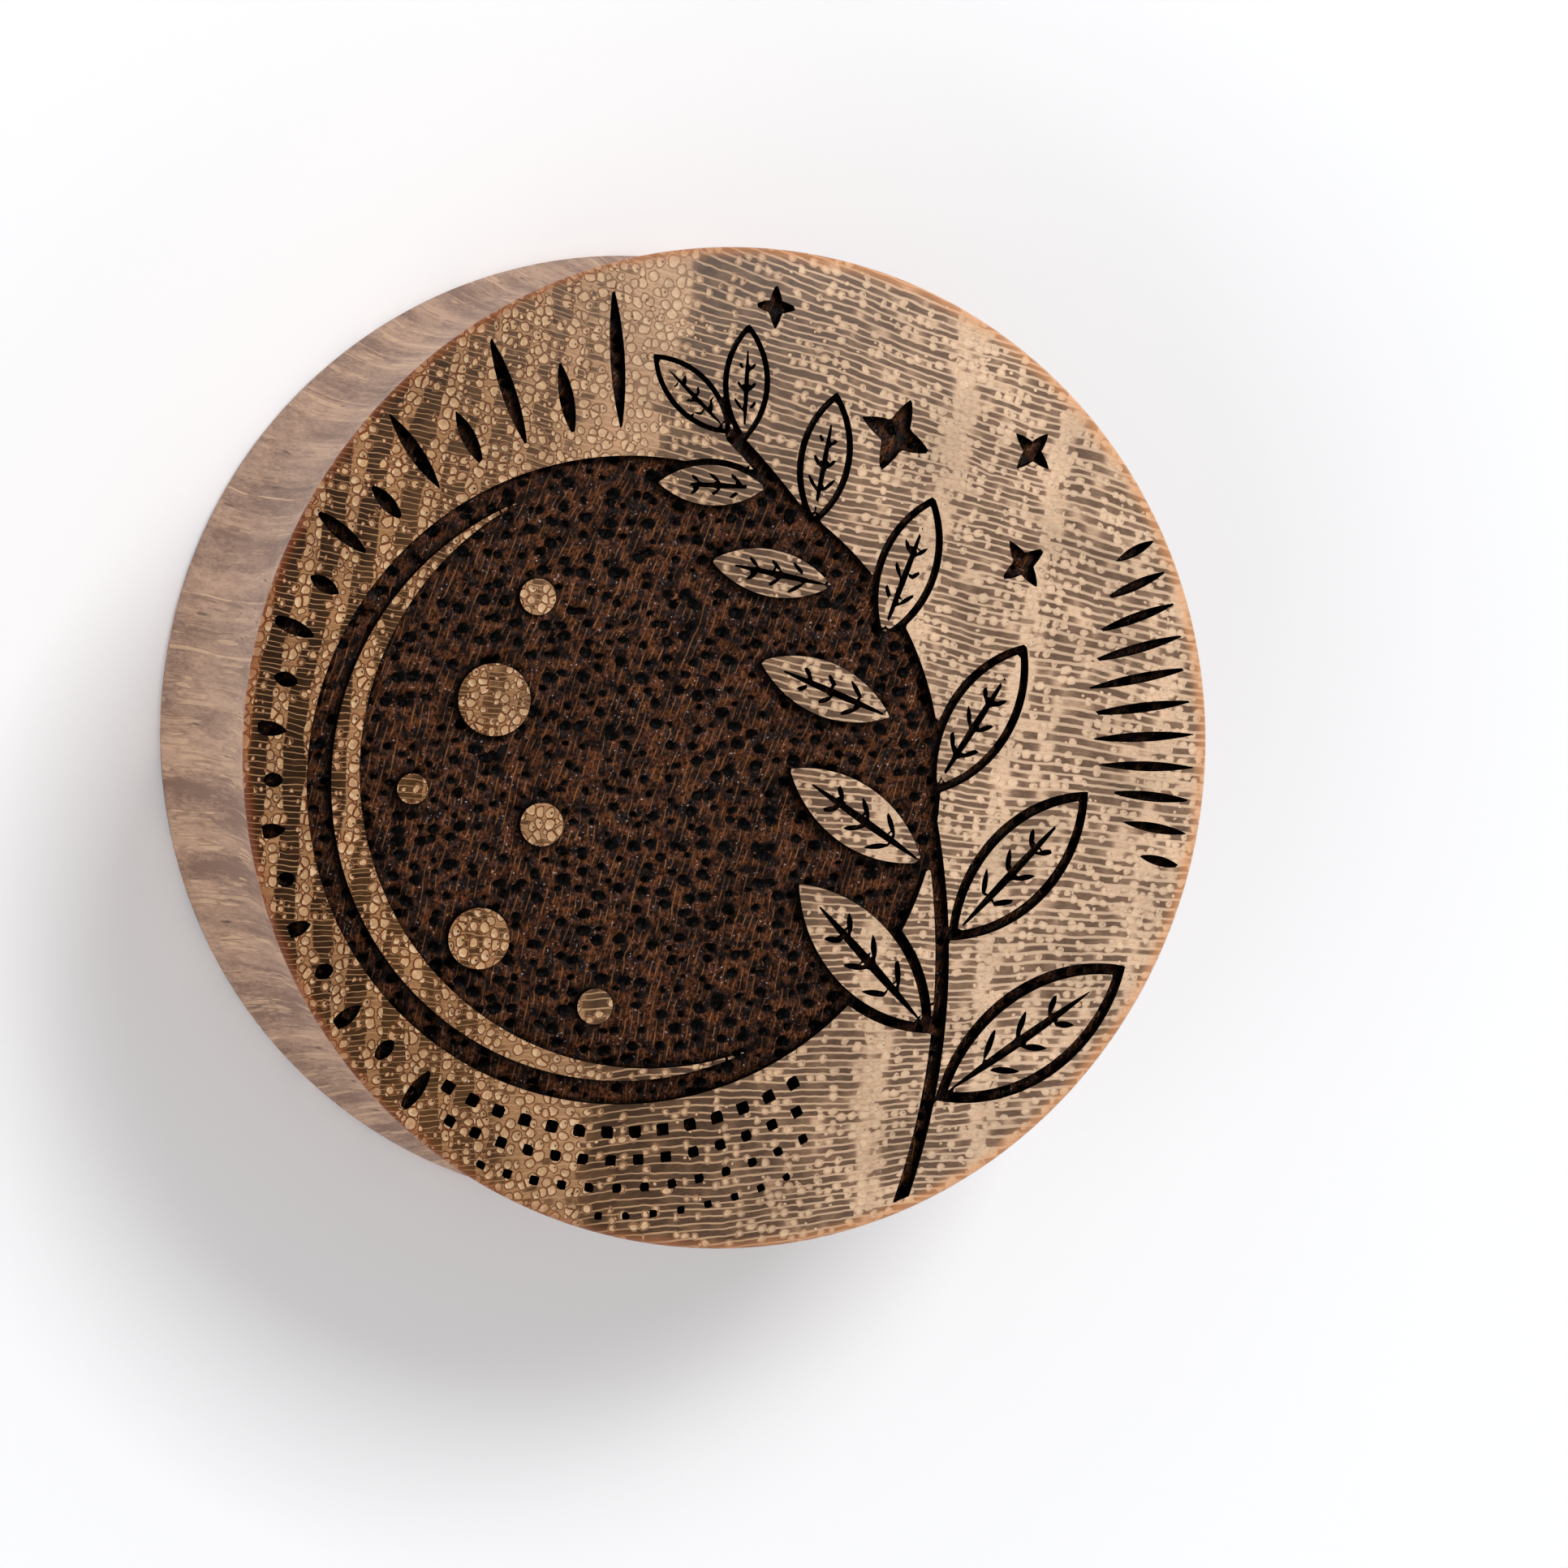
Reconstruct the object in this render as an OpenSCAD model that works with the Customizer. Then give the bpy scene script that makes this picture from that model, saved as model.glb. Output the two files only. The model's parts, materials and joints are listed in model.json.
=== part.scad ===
// Double flared ear plug turned from one piece of wood, with a domed front face
// that carries an engraved sprig of leaves over a dark moon.
// Millimetres. The plug lies on its flat back, with its axis along +Z and the
// origin at the middle of the back face. Seen from the front, +Y is up.

/* [Barrel] */
// Diameter of the waist, which is the gauge that the plug is sold by
gauge_d = 32; // [29:0.5:36]
// How far each flare stands out past the waist
flare_h = 0.9; // [0.5:0.05:1.4]
// Distance from the back rim to the front rim
rim_to_rim = 14.2; // [10:0.1:18]
// Width of the broken edge round the front rim
front_edge = 0.2; // [0.1:0.05:0.4]
// Width of the broken edge round the back rim
back_edge = 0.35; // [0.1:0.05:0.6]

/* [Front face] */
// How far the middle of the front stands above its rim
dome_h = 1.5; // [0.8:0.1:3]
// Depth of the engraving, measured along the axis
engrave_depth = 0.45; // [0.25:0.05:0.7]
// Plain land between the engraving and the rim
rim_margin = 0.5; // [0.3:0.1:1]

/* [Moon] */
// Distance of the moon's middle from the middle of the face
moon_offset = 4.1; // [3:0.1:5]
// Direction of the moon's middle, from the face's right hand side
moon_dir = 194; // [180:1:210]
// Least room between the moon and the rim, which the halo fills
moon_margin = 2; // [1.6:0.1:3]
// Width of the dark edge outside the moon's bright limb
limb_gap = 0.8; // [0.5:0.1:1.2]
// Widest part of the bright limb, which is left standing
limb_w = 1; // [0.6:0.1:1.4]
// Diameter of the largest crater, which is left standing
crater_d = 2.4; // [1.5:0.1:3]
// Gap between the moon and its halo
halo_gap = 0.75; // [0.5:0.05:1]
// Angle between two rays of the halo
ray_pitch = 8; // [6:1:12]
// Widest part of a ray
ray_w = 0.5; // [0.3:0.05:0.7]

/* [Sprig] */
// Length of the lowest leaf
leaf_l = 8.2; // [6:0.2:9]
// Greatest width of the lowest leaf
leaf_w = 3.4; // [2.6:0.1:4]
// Size of each leaf as a share of the one below it
leaf_taper = 0.93; // [0.88:0.01:0.97]
// Angle between a leaf and the stem
leaf_spread = 48; // [35:1:60]
// Distance of a leaf's lower point from the middle of the stem
leaf_stalk = 0.35; // [0.2:0.05:0.6]
// Width of the lines that outline the leaves
line_w = 0.42; // [0.3:0.02:0.6]
// Widest part of a leaf's midrib
midrib_w = 0.34; // [0.24:0.02:0.46]
// Widest part of a leaf's side veins
vein_w = 0.24; // [0.18:0.02:0.34]
// Width of the stem
stem_w = 0.5; // [0.36:0.02:0.8]

/* [Sky and hatching] */
// Distance between opposite points of the largest star
star_d = 2.7; // [1.8:0.1:3.4]
// Side of the squares in the row next to the moon
square_w = 0.42; // [0.3:0.02:0.6]
// Distance between the rows of squares, and between the squares in a row
square_pitch = 0.95; // [0.8:0.05:1.2]
// Length of the longest stroke at the rim
hatch_l = 4.2; // [2:0.2:5]
// Widest part of a stroke at the rim
hatch_w = 0.34; // [0.24:0.02:0.46]

/* [Hidden] */
$fn = 120;

gauge_r = gauge_d / 2;
flare_r = gauge_r + flare_h;
waist_arc_r = (pow(rim_to_rim / 2, 2) + pow(flare_h, 2)) / (2 * flare_h);
dome_r = (pow(flare_r, 2) + pow(dome_h, 2)) / (2 * dome_h);
top_z = rim_to_rim + dome_h;
spare = 0.3;

moon_r = flare_r - moon_offset - moon_margin;
moon_at = moon_offset * [cos(moon_dir), sin(moon_dir)];
// Columns: distance from the moon's middle as a share of the moon's radius,
// direction, size as a share of the largest crater
craters = [
    [0.50, 150, 1], [0.68, 182, 0.42], [0.31, 205, 0.6],
    [0.67, 226, 0.85], [0.64, 118, 0.5], [0.70, 262, 0.5]
];
limb_dir = 24;
halo_from = 92;
halo_to = 236;
long_ray = 0.86;
short_ray = 0.5;

// The stem is an arc from the rim that bends over the moon's right edge
stem_at = flare_r * [-1.12, -0.47];
stem_r = flare_r * 1.54;
stem_from = -19;
stem_to = 45.5;
// Columns: angle along the stem, side of the stem, where 0 is the leaf at its tip
leaves = [
    [-9, -1], [-4, 1], [3, -1], [8.5, 1], [14, -1], [20, 1],
    [26, -1], [31, 1], [36, -1], [40, 1], [44, -1], [45, 0]
];
// How many line widths thick a leaf's outline is at its points
leaf_point = 1.3;
midrib_share = 0.78;
veins = 3;
first_vein = 0.26;
vein_step = 0.17;
vein_share = 0.36;
vein_lean = 38;

// Columns: distance from the middle of the face as a share of its radius,
// direction, size as a share of the largest star
stars = [[0.70, 64, 1], [0.85, 45, 0.63], [0.88, 86, 0.56], [0.69, 33, 0.7]];
star_slim = 0.3;
squares_from = 240;
squares_to = 304;
square_rows = 4;
square_shrink = 0.12;
row_inset = 3;
hatch_from = -14;
hatch_to = 26;
hatch_pitch = 4;
hatch_fade = 0.6;

// A pointed shape between two arcs, with its points on the X axis
module lens(l, w) {
    r = (l * l + w * w) / (4 * w);
    intersection() {
        translate([0, w / 2 - r]) circle(r);
        translate([0, r - w / 2]) circle(r);
    }
}

// A stroke along +X that swells to its middle and is pointed at both ends
module stroke(l, w) {
    translate([l / 2, 0]) lens(l, w);
}

// Places its children on a circle round a point, with +X pointing outward
module on_circle(middle, r, angle) {
    translate(middle) rotate(angle) translate([r, 0]) children();
}

// Part of a ring, between two angles less than 180 degrees apart
module arc_line(r, w, from, to) {
    reach = 2 * r;
    half_way = (from + to) / 2;
    intersection() {
        difference() {
            circle(r + w / 2);
            circle(r - w / 2);
        }
        polygon([
            [0, 0],
            reach * [cos(from), sin(from)],
            reach * [cos(half_way), sin(half_way)],
            reach * [cos(to), sin(to)]
        ]);
    }
}

module moon() {
    translate(moon_at) circle(moon_r);
}

module crater_islands() {
    for (c = craters)
        on_circle(moon_at, c[0] * moon_r, c[1]) circle(d = crater_d * c[2]);
}

// A thin crescent left standing along the moon's left edge
module bright_limb() {
    difference() {
        translate(moon_at) circle(moon_r - limb_gap);
        on_circle(moon_at, limb_w, limb_dir) circle(moon_r - limb_gap);
    }
}

// Distance from the moon's middle to the face's rim in one direction
function rim_reach(a) =
    let (along = moon_offset * cos(a - moon_dir))
    sqrt(pow(flare_r, 2) - pow(moon_offset, 2) + pow(along, 2)) - along;

// Rays round the moon's left side, long and short by turns
module halo() {
    for (i = [0:floor((halo_to - halo_from) / ray_pitch)]) {
        a = halo_from + i * ray_pitch;
        room = rim_reach(a) - moon_r - halo_gap;
        on_circle(moon_at, moon_r + halo_gap, a)
            stroke(room * (i % 2 == 0 ? long_ray : short_ray), ray_w);
    }
}

// Rows of small squares that follow the moon's lower edge
module squares() {
    for (row = [0:square_rows - 1]) {
        r = moon_r + square_pitch * (row + 1);
        turn = square_pitch / r * 180 / PI;
        for (a = [squares_from + row * row_inset:turn:squares_to - row * row_inset])
            if (r + rim_margin < rim_reach(a))
                on_circle(moon_at, r, a)
                    square(square_w * (1 - square_shrink * row), center = true);
    }
}

module stem() {
    translate(stem_at) arc_line(stem_r, stem_w, stem_from, stem_to);
}

// Places its children on every leaf: base at the stem, +X along the leaf
module on_each_leaf() {
    for (i = [0:len(leaves) - 1])
        on_circle(stem_at, stem_r, leaves[i][0])
            rotate(90 + leaves[i][1] * leaf_spread)
                scale(pow(leaf_taper, i)) translate([leaf_stalk, 0]) children();
}

module leaf_outer() {
    stroke(leaf_l, leaf_w);
}

module leaf_inner() {
    translate([leaf_point * line_w, 0])
        stroke(leaf_l - 2 * leaf_point * line_w, leaf_w - 2 * line_w);
}

// The midrib and the side veins, cut into the standing leaf
module leaf_veins() {
    translate([line_w, 0]) stroke(leaf_l * midrib_share, midrib_w);
    for (i = [0:veins - 1], side = [-1, 1])
        translate([leaf_l * (first_vein + vein_step * i), side * midrib_w / 2])
            rotate(side * vein_lean) stroke(leaf_w * (vein_share - 0.06 * i), vein_w);
}

module star(size) {
    for (a = [0, 90]) rotate(a) lens(size, size * star_slim);
}

module sky() {
    for (s = stars) on_circle([0, 0], s[0] * flare_r, s[1]) star(s[2] * star_d);
}

// Strokes that run in from near the rim, the middle ones longest
module rim_hatch() {
    middle = (hatch_from + hatch_to) / 2;
    half_span = (hatch_to - hatch_from) / 2;
    for (a = [hatch_from:hatch_pitch:hatch_to]) {
        l = hatch_l * (1 - hatch_fade * pow((a - middle) / half_span, 2));
        on_circle([0, 0], flare_r - rim_margin - l, a) stroke(l, hatch_w);
    }
}

// Everything that is cut away, as seen from the front
module engraving_outline() {
    intersection() {
        circle(flare_r - rim_margin);
        union() {
            difference() {
                union() {
                    moon();
                    on_each_leaf() leaf_outer();
                }
                on_each_leaf() leaf_inner();
                crater_islands();
                bright_limb();
            }
            on_each_leaf() leaf_veins();
            stem();
            halo();
            squares();
            sky();
            rim_hatch();
        }
    }
}

// Half of the plug's section, from its axis outward
module half_section() {
    intersection() {
        difference() {
            square([flare_r, top_z]);
            translate([gauge_r + waist_arc_r, rim_to_rim / 2]) circle(waist_arc_r);
            translate([flare_r, 0]) rotate(45) square(back_edge, center = true);
            translate([flare_r, rim_to_rim]) rotate(45) square(front_edge, center = true);
        }
        translate([0, top_z - dome_r]) circle(dome_r);
    }
}

// The cut follows the dome, so it is equally deep all over the face
module engraving() {
    low_z = rim_to_rim - engrave_depth;
    difference() {
        translate([0, 0, low_z])
            linear_extrude(top_z - low_z + spare) engraving_outline();
        translate([0, 0, top_z - engrave_depth - dome_r])
            rotate([90, 0, 0]) sphere(dome_r);
    }
}

module plug() {
    color("burlywood")
        difference() {
            rotate_extrude() half_section();
            engraving();
        }
}

plug();
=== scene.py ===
"""Looks of a double flared wooden ear plug: its body, its finishes, the light and the camera.

Shapes are worked out in millimetres and turned into metres when a mesh is made.
Points on the face are complex numbers, x to the right and y up, from the face's middle.
"""
import json
import logging
import math
from collections.abc import Callable
from dataclasses import dataclass
from enum import Enum, IntEnum

import bpy
import numpy as np
from mathutils import Matrix, Vector


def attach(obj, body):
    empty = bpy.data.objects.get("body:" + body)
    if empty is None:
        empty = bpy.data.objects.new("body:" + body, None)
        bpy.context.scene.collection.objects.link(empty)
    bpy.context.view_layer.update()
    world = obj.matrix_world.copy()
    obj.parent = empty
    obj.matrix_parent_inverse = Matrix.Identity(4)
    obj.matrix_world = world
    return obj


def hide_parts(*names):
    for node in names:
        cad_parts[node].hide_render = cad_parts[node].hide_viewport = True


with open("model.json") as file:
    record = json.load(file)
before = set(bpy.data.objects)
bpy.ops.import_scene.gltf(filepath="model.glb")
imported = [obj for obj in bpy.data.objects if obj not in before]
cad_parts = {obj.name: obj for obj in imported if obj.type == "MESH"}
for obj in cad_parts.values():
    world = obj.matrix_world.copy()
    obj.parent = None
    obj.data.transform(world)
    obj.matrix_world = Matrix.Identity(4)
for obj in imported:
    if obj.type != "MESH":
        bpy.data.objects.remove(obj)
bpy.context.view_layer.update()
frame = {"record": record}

MM = 0.001
LOG = logging.getLogger("ear_plug")
# Attributes: way to the nearest spot's middle and its radius, and how deep a point lies; on the floor it
# goes on past 1 with the distance from the walls, which places a painted shade along them
SPOT = "spot"
DEPTH = "depth"
SHARP_ANGLE = math.radians(50)
# Large enough factors that the sines of neighbouring cells have nothing in common
DICE_STEPS = (127.1, 311.7, 74.7)
DICE_SIZE = 43758.5453
# Columns of a pattern that never repeats, and a gap where no spot is near
ENDLESS = 1 << 20
FAR = 9.0
# Added to the end of a range that includes it
TINY = 1e-6
# Cells where two opposite corners stand, by the sum of 2^k over the corners that stand
SADDLES = (5, 10)
# Sockets of the Mix node for the factor, the two colours and the result
MIX_INPUTS = (0, 6, 7)
MIX_OUTPUT = 2

Tree = bpy.types.NodeTree
Node = bpy.types.Node
Socket = bpy.types.NodeSocket
Array = np.ndarray
Colour = tuple[float, float, float, float]


class Surface(Enum):
    """The plug's surfaces, numbered as its material slots."""

    FACE = 0
    ENGRAVED = 1
    BARREL = 2


class Seed(IntEnum):
    """Numbers that pick the random values of each relief."""

    FLOOR_BEND = 3
    FLOOR_GRAIN = 7
    FLOOR_WAVE = 9
    PORES = 11
    SLIT_SWAY = 21
    SLITS = 31
    STREAKS = 41
    WAVE = 51


def rgb(red: int, green: int, blue: int) -> Colour:
    """Linear colour of a screen colour from 0 to 255."""
    parts = [c / 255 for c in (red, green, blue)]
    linear = [c / 12.92 if c <= 0.04045 else ((c + 0.055) / 1.055) ** 2.4 for c in parts]
    return (*linear, 1.0)


def cis(degrees: float) -> complex:
    """Unit step on the face in one direction."""
    turn = math.radians(degrees)
    return complex(math.cos(turn), math.sin(turn))


def dice(column: Array, row: Array, seed: float) -> Array:
    """A fixed random number from 0 to 1 for each cell of a grid.

    The fraction of a large sine of a sum of the cell's numbers.
    """
    by_column, by_row, by_seed = DICE_STEPS
    wave = np.sin(column * by_column + row * by_row + seed * by_seed) * DICE_SIZE
    return wave - np.floor(wave)


def smooth(share: Array) -> Array:
    """Eases a share from 0 to 1 in and out, by 3 t^2 - 2 t^3."""
    return share * share * (3 - 2 * share)


def soft_noise(x: Array, y: Array, seed: float, columns: int = ENDLESS) -> Array:
    """Smooth noise from -1 to 1 with one bump to a unit square.

    Random values at the grid's corners are blended by the eased distance along each side.

    Args:
        x: Places across the grid.
        y: Places along the grid.
        seed: Picks the random values.
        columns: After how many columns the grid repeats.

    Returns:
        The noise at each place.
    """
    column, row = np.floor(x), np.floor(y)
    across, along = smooth(x - column), smooth(y - row)
    corner = [[dice((column + i) % columns, row + j, seed) for j in (0, 1)] for i in (0, 1)]
    near = corner[0][0] * (1 - along) + corner[0][1] * along
    far = corner[1][0] * (1 - along) + corner[1][1] * along
    return 2 * (near * (1 - across) + far * across) - 1


@dataclass(frozen=True)
class Scatter:
    """Round spots scattered over unit squares, at most one to a square.

    Places are complex numbers. The squares may repeat after a number of columns.
    """

    share: float
    radii: tuple[float, float]
    seed: float
    columns: int = ENDLESS
    jitter: float = 0.66

    def nearest(self, at: Array) -> tuple[Array, Array]:
        """Finds the spot whose edge is nearest, in a square and its eight neighbours.

        Args:
            at: Places to look from.

        Returns:
            The way to the spot's middle, and its radius.
        """
        column, row = np.floor(at.real), np.floor(at.imag)
        way, size = np.full(at.shape, FAR + 0j), np.zeros(at.shape)
        least = np.full(at.shape, FAR)
        for i in (-1, 0, 1):
            for j in (-1, 0, 1):
                here = ((column + i) % self.columns, row + j)
                across, along, pick, draw = (dice(*here, self.seed + k) for k in range(4))
                middle = 0.5 + self.jitter * (across - 0.5) + column + i
                middle = middle + 1j * (0.5 + self.jitter * (along - 0.5) + row + j)
                radius = self.radii[0] + (self.radii[1] - self.radii[0]) * pick
                gap = abs(middle - at) - radius
                nearer = (gap < least) & (draw < self.share)
                way = np.where(nearer, middle - at, way)
                size = np.where(nearer, radius, size)
                least = np.where(nearer, gap, least)
        return way, size

    def inside(self, at: Array, blur: float) -> Array:
        """How far places lie in a spot, from 0 to 1, smoothed over its edge."""
        way, radius = self.nearest(at)
        return smooth(np.clip(0.5 - (abs(way) - radius) / blur, 0, 1))

    def at_corners(self, at: Array) -> Array:
        """What each corner of a face needs to draw the face's nearest spot.

        Args:
            at: Places of the corners, one face to a row.

        Returns:
            The way to the spot's middle, x and y, and its radius, one corner to a row.
        """
        at = at - self.columns * np.round((at.real - at.real[:, :1]) / self.columns)
        middle = at.mean(axis=1)
        way, radius = self.nearest(middle)
        ways = (way + middle)[:, None] - at
        radii = np.broadcast_to(radius[:, None], at.shape)
        return np.stack([ways.real, ways.imag, radii], axis=-1).reshape(-1, 3)


def lens(p: Array, length: float, width: float) -> Array:
    """Signed distance from a pointed shape between two arcs, with its points on the x axis.

    The greater of the distances outside the two circles that the arcs belong to.
    """
    radius = (length**2 + width**2) / (4 * width)
    rise = 1j * (radius - width / 2)
    return np.maximum(abs(p + rise), abs(p - rise)) - radius


def stroke(p: Array, length: float, width: float) -> Array:
    """Signed distance from a lens that runs along +x from the origin."""
    return lens(p - length / 2, length, width)


@dataclass(frozen=True)
class Engraving:
    """The design cut into the face: a sprig of leaves over a moon, a halo, stars and hatching.

    It is the design that the frame's solid carries, from the same sizes, in millimetres
    and degrees. Tables hold places as shares of the size that they follow.
    """

    face_r: float
    depth: float = 0.45
    rim_margin: float = 0.5
    moon_offset: float = 4.1
    moon_dir: float = 194
    moon_margin: float = 2.0
    limb_gap: float = 0.8
    limb_w: float = 1.0
    limb_dir: float = 24
    crater_d: float = 2.4
    craters: tuple = (
        (0.50, 150, 1), (0.68, 182, 0.42), (0.31, 205, 0.6),
        (0.67, 226, 0.85), (0.64, 118, 0.5), (0.70, 262, 0.5),
    )
    halo_gap: float = 0.75
    halo_span: tuple = (92, 236)
    ray_pitch: float = 8
    ray_w: float = 0.5
    ray_shares: tuple = (0.86, 0.5)
    stem_at: complex = -1.12 - 0.47j
    stem_r: float = 1.54
    stem_span: tuple = (-19, 45.5)
    stem_w: float = 0.5
    leaves: tuple = (
        (-9, -1), (-4, 1), (3, -1), (8.5, 1), (14, -1), (20, 1),
        (26, -1), (31, 1), (36, -1), (40, 1), (44, -1), (45, 0),
    )
    leaf_l: float = 8.2
    leaf_w: float = 3.4
    leaf_taper: float = 0.93
    leaf_spread: float = 48
    leaf_stalk: float = 0.35
    leaf_point: float = 1.3
    line_w: float = 0.42
    midrib_w: float = 0.34
    midrib_share: float = 0.78
    vein_w: float = 0.24
    vein_steps: tuple = ((0.26, 0.36), (0.43, 0.30), (0.60, 0.24))
    vein_lean: float = 38
    stars: tuple = ((0.70, 64, 1), (0.85, 45, 0.63), (0.88, 86, 0.56), (0.69, 33, 0.7))
    star_d: float = 2.7
    star_slim: float = 0.3
    square_span: tuple = (240, 304)
    square_rows: int = 4
    square_w: float = 0.42
    square_pitch: float = 0.95
    square_shrink: float = 0.12
    row_inset: float = 3
    hatch_span: tuple = (-14, 26)
    hatch_pitch: float = 4
    hatch_l: float = 4.2
    hatch_w: float = 0.34
    hatch_fade: float = 0.6

    @property
    def moon_r(self) -> float:
        """Radius of the moon."""
        return self.face_r - self.moon_offset - self.moon_margin

    @property
    def moon_at(self) -> complex:
        """Middle of the moon."""
        return self.moon_offset * cis(self.moon_dir)

    def room(self, direction: float) -> float:
        """Distance from the moon's middle to the rim in one direction."""
        along = self.moon_offset * math.cos(math.radians(direction - self.moon_dir))
        return math.sqrt(self.face_r**2 - self.moon_offset**2 + along**2) - along

    def around_moon(self, p: Array, radius: float, direction: float) -> Array:
        """Points as seen from a place round the moon, with +x pointing outward."""
        return (p - self.moon_at) / cis(direction) - radius

    def in_leaf(self, p: Array, index: int) -> tuple[Array, float]:
        """Points as seen from one leaf's foot, at the lowest leaf's size.

        Args:
            p: Points on the face.
            index: Which leaf, counted up the stem.

        Returns:
            The points, and the leaf's size as a share of the lowest one's.
        """
        angle, side = self.leaves[index]
        size = self.leaf_taper**index
        foot = self.face_r * (self.stem_at + self.stem_r * cis(angle))
        turn = cis(angle + 90 + side * self.leaf_spread)
        return (p - foot) / turn / size - self.leaf_stalk, size

    def leaf_parts(self, p: Array, index: int) -> tuple[Array, Array, Array]:
        """Signed distances from one leaf's outer shape, its standing blade and its veins."""
        q, size = self.in_leaf(p, index)
        tip = self.leaf_point * self.line_w
        outer = stroke(q, self.leaf_l, self.leaf_w)
        blade = stroke(q - tip, self.leaf_l - 2 * tip, self.leaf_w - 2 * self.line_w)
        veins = stroke(q - self.line_w, self.leaf_l * self.midrib_share, self.midrib_w)
        for side in (-1, 1):
            for along, length in self.vein_steps:
                foot = self.leaf_l * along + 0.5j * side * self.midrib_w
                vein = stroke((q - foot) / cis(side * self.vein_lean), self.leaf_w * length, self.vein_w)
                veins = np.minimum(veins, vein)
        return outer * size, blade * size, veins * size

    def stem(self, p: Array) -> Array:
        """Signed distance from the stem, a part of a ring."""
        q = p - self.face_r * self.stem_at
        middle = sum(self.stem_span) / 2
        half = math.radians(self.stem_span[1] - middle)
        ring = abs(abs(q) - self.face_r * self.stem_r) - self.stem_w / 2
        ends = (abs(np.angle(q / cis(middle))) - half) * abs(q)
        return np.maximum(ring, ends)

    def moon_marks(self, p: Array) -> Array:
        """Signed distance from what is left standing in the moon: craters and bright limb."""
        inner = self.moon_r - self.limb_gap
        q = p - self.moon_at
        limb = np.maximum(abs(q) - inner, inner - abs(q - self.limb_w * cis(self.limb_dir)))
        return np.minimum.reduce([limb, *(
            abs(self.around_moon(p, reach * self.moon_r, direction)) - self.crater_d * size / 2
            for reach, direction, size in self.craters
        )])

    def halo(self, p: Array) -> Array:
        """Signed distance from the rays round the moon, long and short by turns."""
        start, end = self.halo_span
        foot = self.moon_r + self.halo_gap
        rays = []
        for i in range(int((end - start) // self.ray_pitch) + 1):
            direction = start + i * self.ray_pitch
            length = (self.room(direction) - self.moon_r - self.halo_gap) * self.ray_shares[i % 2]
            rays.append(stroke(self.around_moon(p, foot, direction), length, self.ray_w))
        return np.minimum.reduce(rays)

    def squares(self, p: Array) -> Array:
        """Signed distance from the rows of small squares below the moon."""
        start, end = self.square_span
        squares = []
        for row in range(self.square_rows):
            radius = self.moon_r + self.square_pitch * (row + 1)
            turn = math.degrees(self.square_pitch / radius)
            inset = row * self.row_inset
            half = self.square_w * (1 - self.square_shrink * row) / 2
            for direction in np.arange(start + inset, end - inset + TINY, turn):
                if radius + self.rim_margin < self.room(direction):
                    q = self.around_moon(p, radius, direction)
                    squares.append(np.maximum(abs(q.real), abs(q.imag)) - half)
        return np.minimum.reduce(squares)

    def sky(self, p: Array) -> Array:
        """Signed distance from the four pointed stars."""
        rays = []
        for reach, direction, share in self.stars:
            q = p / cis(direction) - reach * self.face_r
            size = share * self.star_d
            rays += [lens(q * turn, size, size * self.star_slim) for turn in (1, 1j)]
        return np.minimum.reduce(rays)

    def rim_hatch(self, p: Array) -> Array:
        """Signed distance from the strokes that run in from near the rim."""
        start, end = self.hatch_span
        middle = (start + end) / 2
        half = end - middle
        strokes = []
        for direction in np.arange(start, end + TINY, self.hatch_pitch):
            length = self.hatch_l * (1 - self.hatch_fade * ((direction - middle) / half) ** 2)
            q = p / cis(direction) - (self.face_r - self.rim_margin - length)
            strokes.append(stroke(q, length, self.hatch_w))
        return np.minimum.reduce(strokes)

    def signed(self, p: Array) -> Array:
        """Signed distance from the whole design.

        Joined shapes take the least of their distances, and a shape that is left standing
        takes away with the greater of a distance and minus its own.

        Args:
            p: Points on the face.

        Returns:
            The distance at each point, negative where the wood is cut away.
        """
        outer, blades, veins = zip(*(self.leaf_parts(p, i) for i in range(len(self.leaves))))
        dark = np.minimum.reduce([abs(p - self.moon_at) - self.moon_r, *outer])
        standing = np.minimum.reduce([self.moon_marks(p), *blades])
        lines = [*veins, self.stem(p), self.halo(p), self.squares(p), self.sky(p), self.rim_hatch(p)]
        cut = np.minimum.reduce([np.maximum(dark, -standing), *lines])
        return np.maximum(cut, abs(p) - (self.face_r - self.rim_margin))


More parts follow.
